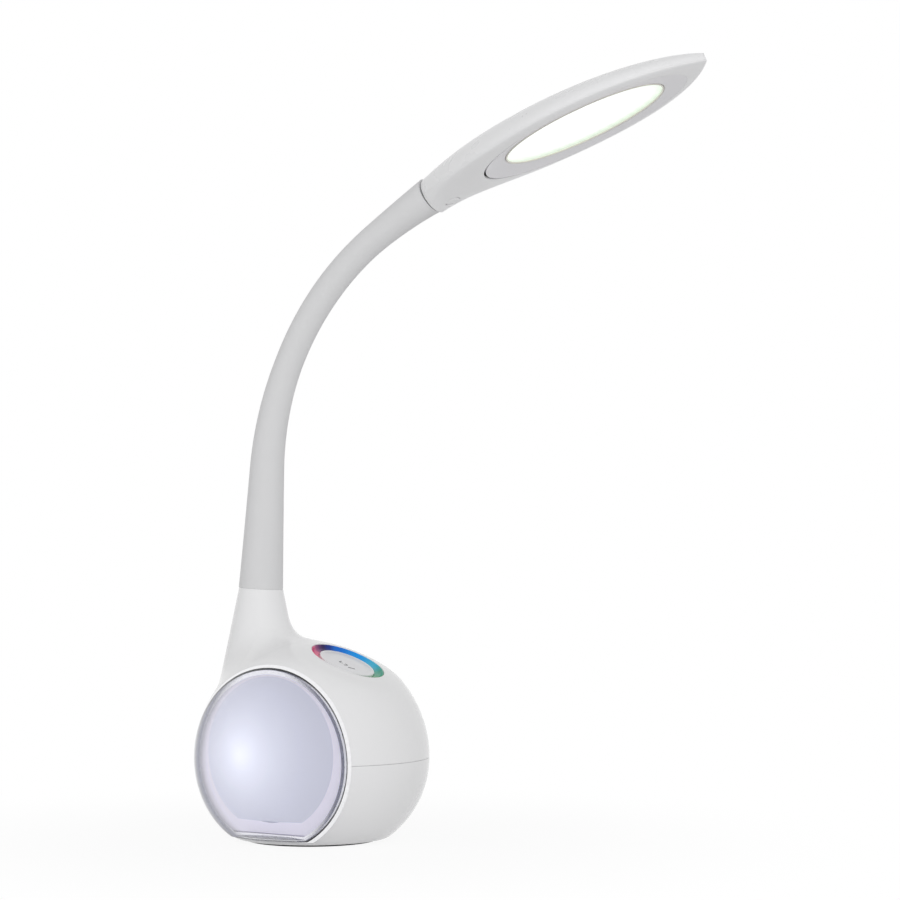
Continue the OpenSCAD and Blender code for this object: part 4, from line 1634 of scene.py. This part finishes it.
@dataclass
class Studio:
    """Camera, lamps, world and floor."""

    eye: tuple[float, float, float] = (0.79499, -1.13537, 0.16326)
    azimuth: float = math.radians(32.084)
    pitch: float = math.radians(1.4723)
    lens: float = 108.0
    sensor: float = 36.0
    ambient: float = 0.53
    floor_colour: tuple[float, float, float, float] = (0.86, 0.86, 0.86, 1)
    fade_reach: Point = (0.05, 0.3)
    fade_glow: Point = (0.92, 1.0)

    def camera(self) -> None:
        """Places the camera as the photograph's."""
        data = bpy.data.cameras.new("camera")
        data.lens, data.sensor_width = self.lens, self.sensor
        data.clip_start, data.clip_end = 0.05, 50
        cam = bpy.data.objects.new("camera", data)
        bpy.context.scene.collection.objects.link(cam)
        ahead = Vector((
            -math.sin(self.azimuth) * math.cos(self.pitch), math.cos(self.azimuth) * math.cos(self.pitch),
            math.sin(self.pitch),
        ))
        cam.location = self.eye
        cam.rotation_euler = ahead.to_track_quat("-Z", "Y").to_euler()
        bpy.context.scene.camera = cam

    @staticmethod
    def lamp(name: str, place: Sequence[float], aim: Sequence[float], size: Point, power: float) -> None:
        """Adds a soft rectangular lamp.

        Args:
            name: Its name.
            place: Where it stands.
            aim: The point that it faces.
            size: Its width and height in metres.
            power: Its power in watts.
        """
        data = bpy.data.lights.new(name, "AREA")
        data.shape = "RECTANGLE"
        data.size, data.size_y = size
        data.energy = power
        obj = bpy.data.objects.new(name, data)
        obj.location = place
        obj.rotation_euler = (Vector(aim) - Vector(place)).to_track_quat("-Z", "Y").to_euler()
        obj.visible_glossy = obj.visible_transmission = False
        bpy.context.scene.collection.objects.link(obj)

    def world(self) -> None:
        """A white surround, dimmer as a light than as a backdrop."""
        world = bpy.data.worlds.new("studio")
        bpy.context.scene.world = world
        sheet = NodeSheet(world, "OutputWorld")
        light = sheet.add("Background", Strength=self.ambient, Color=WHITE)
        sheet.show_blend(sheet.seen(), light, sheet.add("Background", Color=WHITE))

    def floor(self) -> None:
        """A plain white floor that keeps a soft shadow and fades into the backdrop."""
        bm = bmesh.new()
        bmesh.ops.create_grid(bm, x_segments=1, y_segments=1, size=4.0)
        mesh = bpy.data.meshes.new("floor")
        bm.to_mesh(mesh)
        bm.free()
        obj = bpy.data.objects.new("floor", mesh)
        bpy.context.scene.collection.objects.link(obj)
        sheet = NodeSheet(bpy.data.materials.new("floor_white"))
        fade = sheet.span(sheet.length(sheet.coords()), self.fade_reach, self.fade_glow, smooth=True)
        diffuse = sheet.add("BsdfDiffuse", Color=self.floor_colour)
        glow = sheet.add("Emission", Color=WHITE, Strength=1.0)
        sheet.show_blend(sheet.maths("MULTIPLY", sheet.seen(), fade), diffuse, glow)
        mesh.materials.append(sheet.owner)

    def build(self) -> None:
        """Sets up the whole studio."""
        self.camera()
        self.world()
        self.floor()
        self.lamp("key", (1.3, -1.3, 0.5), (0.05, 0, 0.18), (1.4, 1.2), 13)
        self.lamp("fill", (-0.9, -1.4, 0.7), (0.0, 0, 0.15), (1.2, 1.2), 3)
        bpy.context.scene.view_settings.view_transform = "Standard"


def main() -> None:
    """Builds the lamp and its studio."""
    logging.basicConfig(level=logging.INFO, format="%(name)s %(message)s")
    Studio().build()
    BaseShells().build()
    MoodLight().build()
    TouchPanel().build()
    Neck().build()
    Head().build()
    InnerParts().build()


if __name__ == "__main__":
    main()
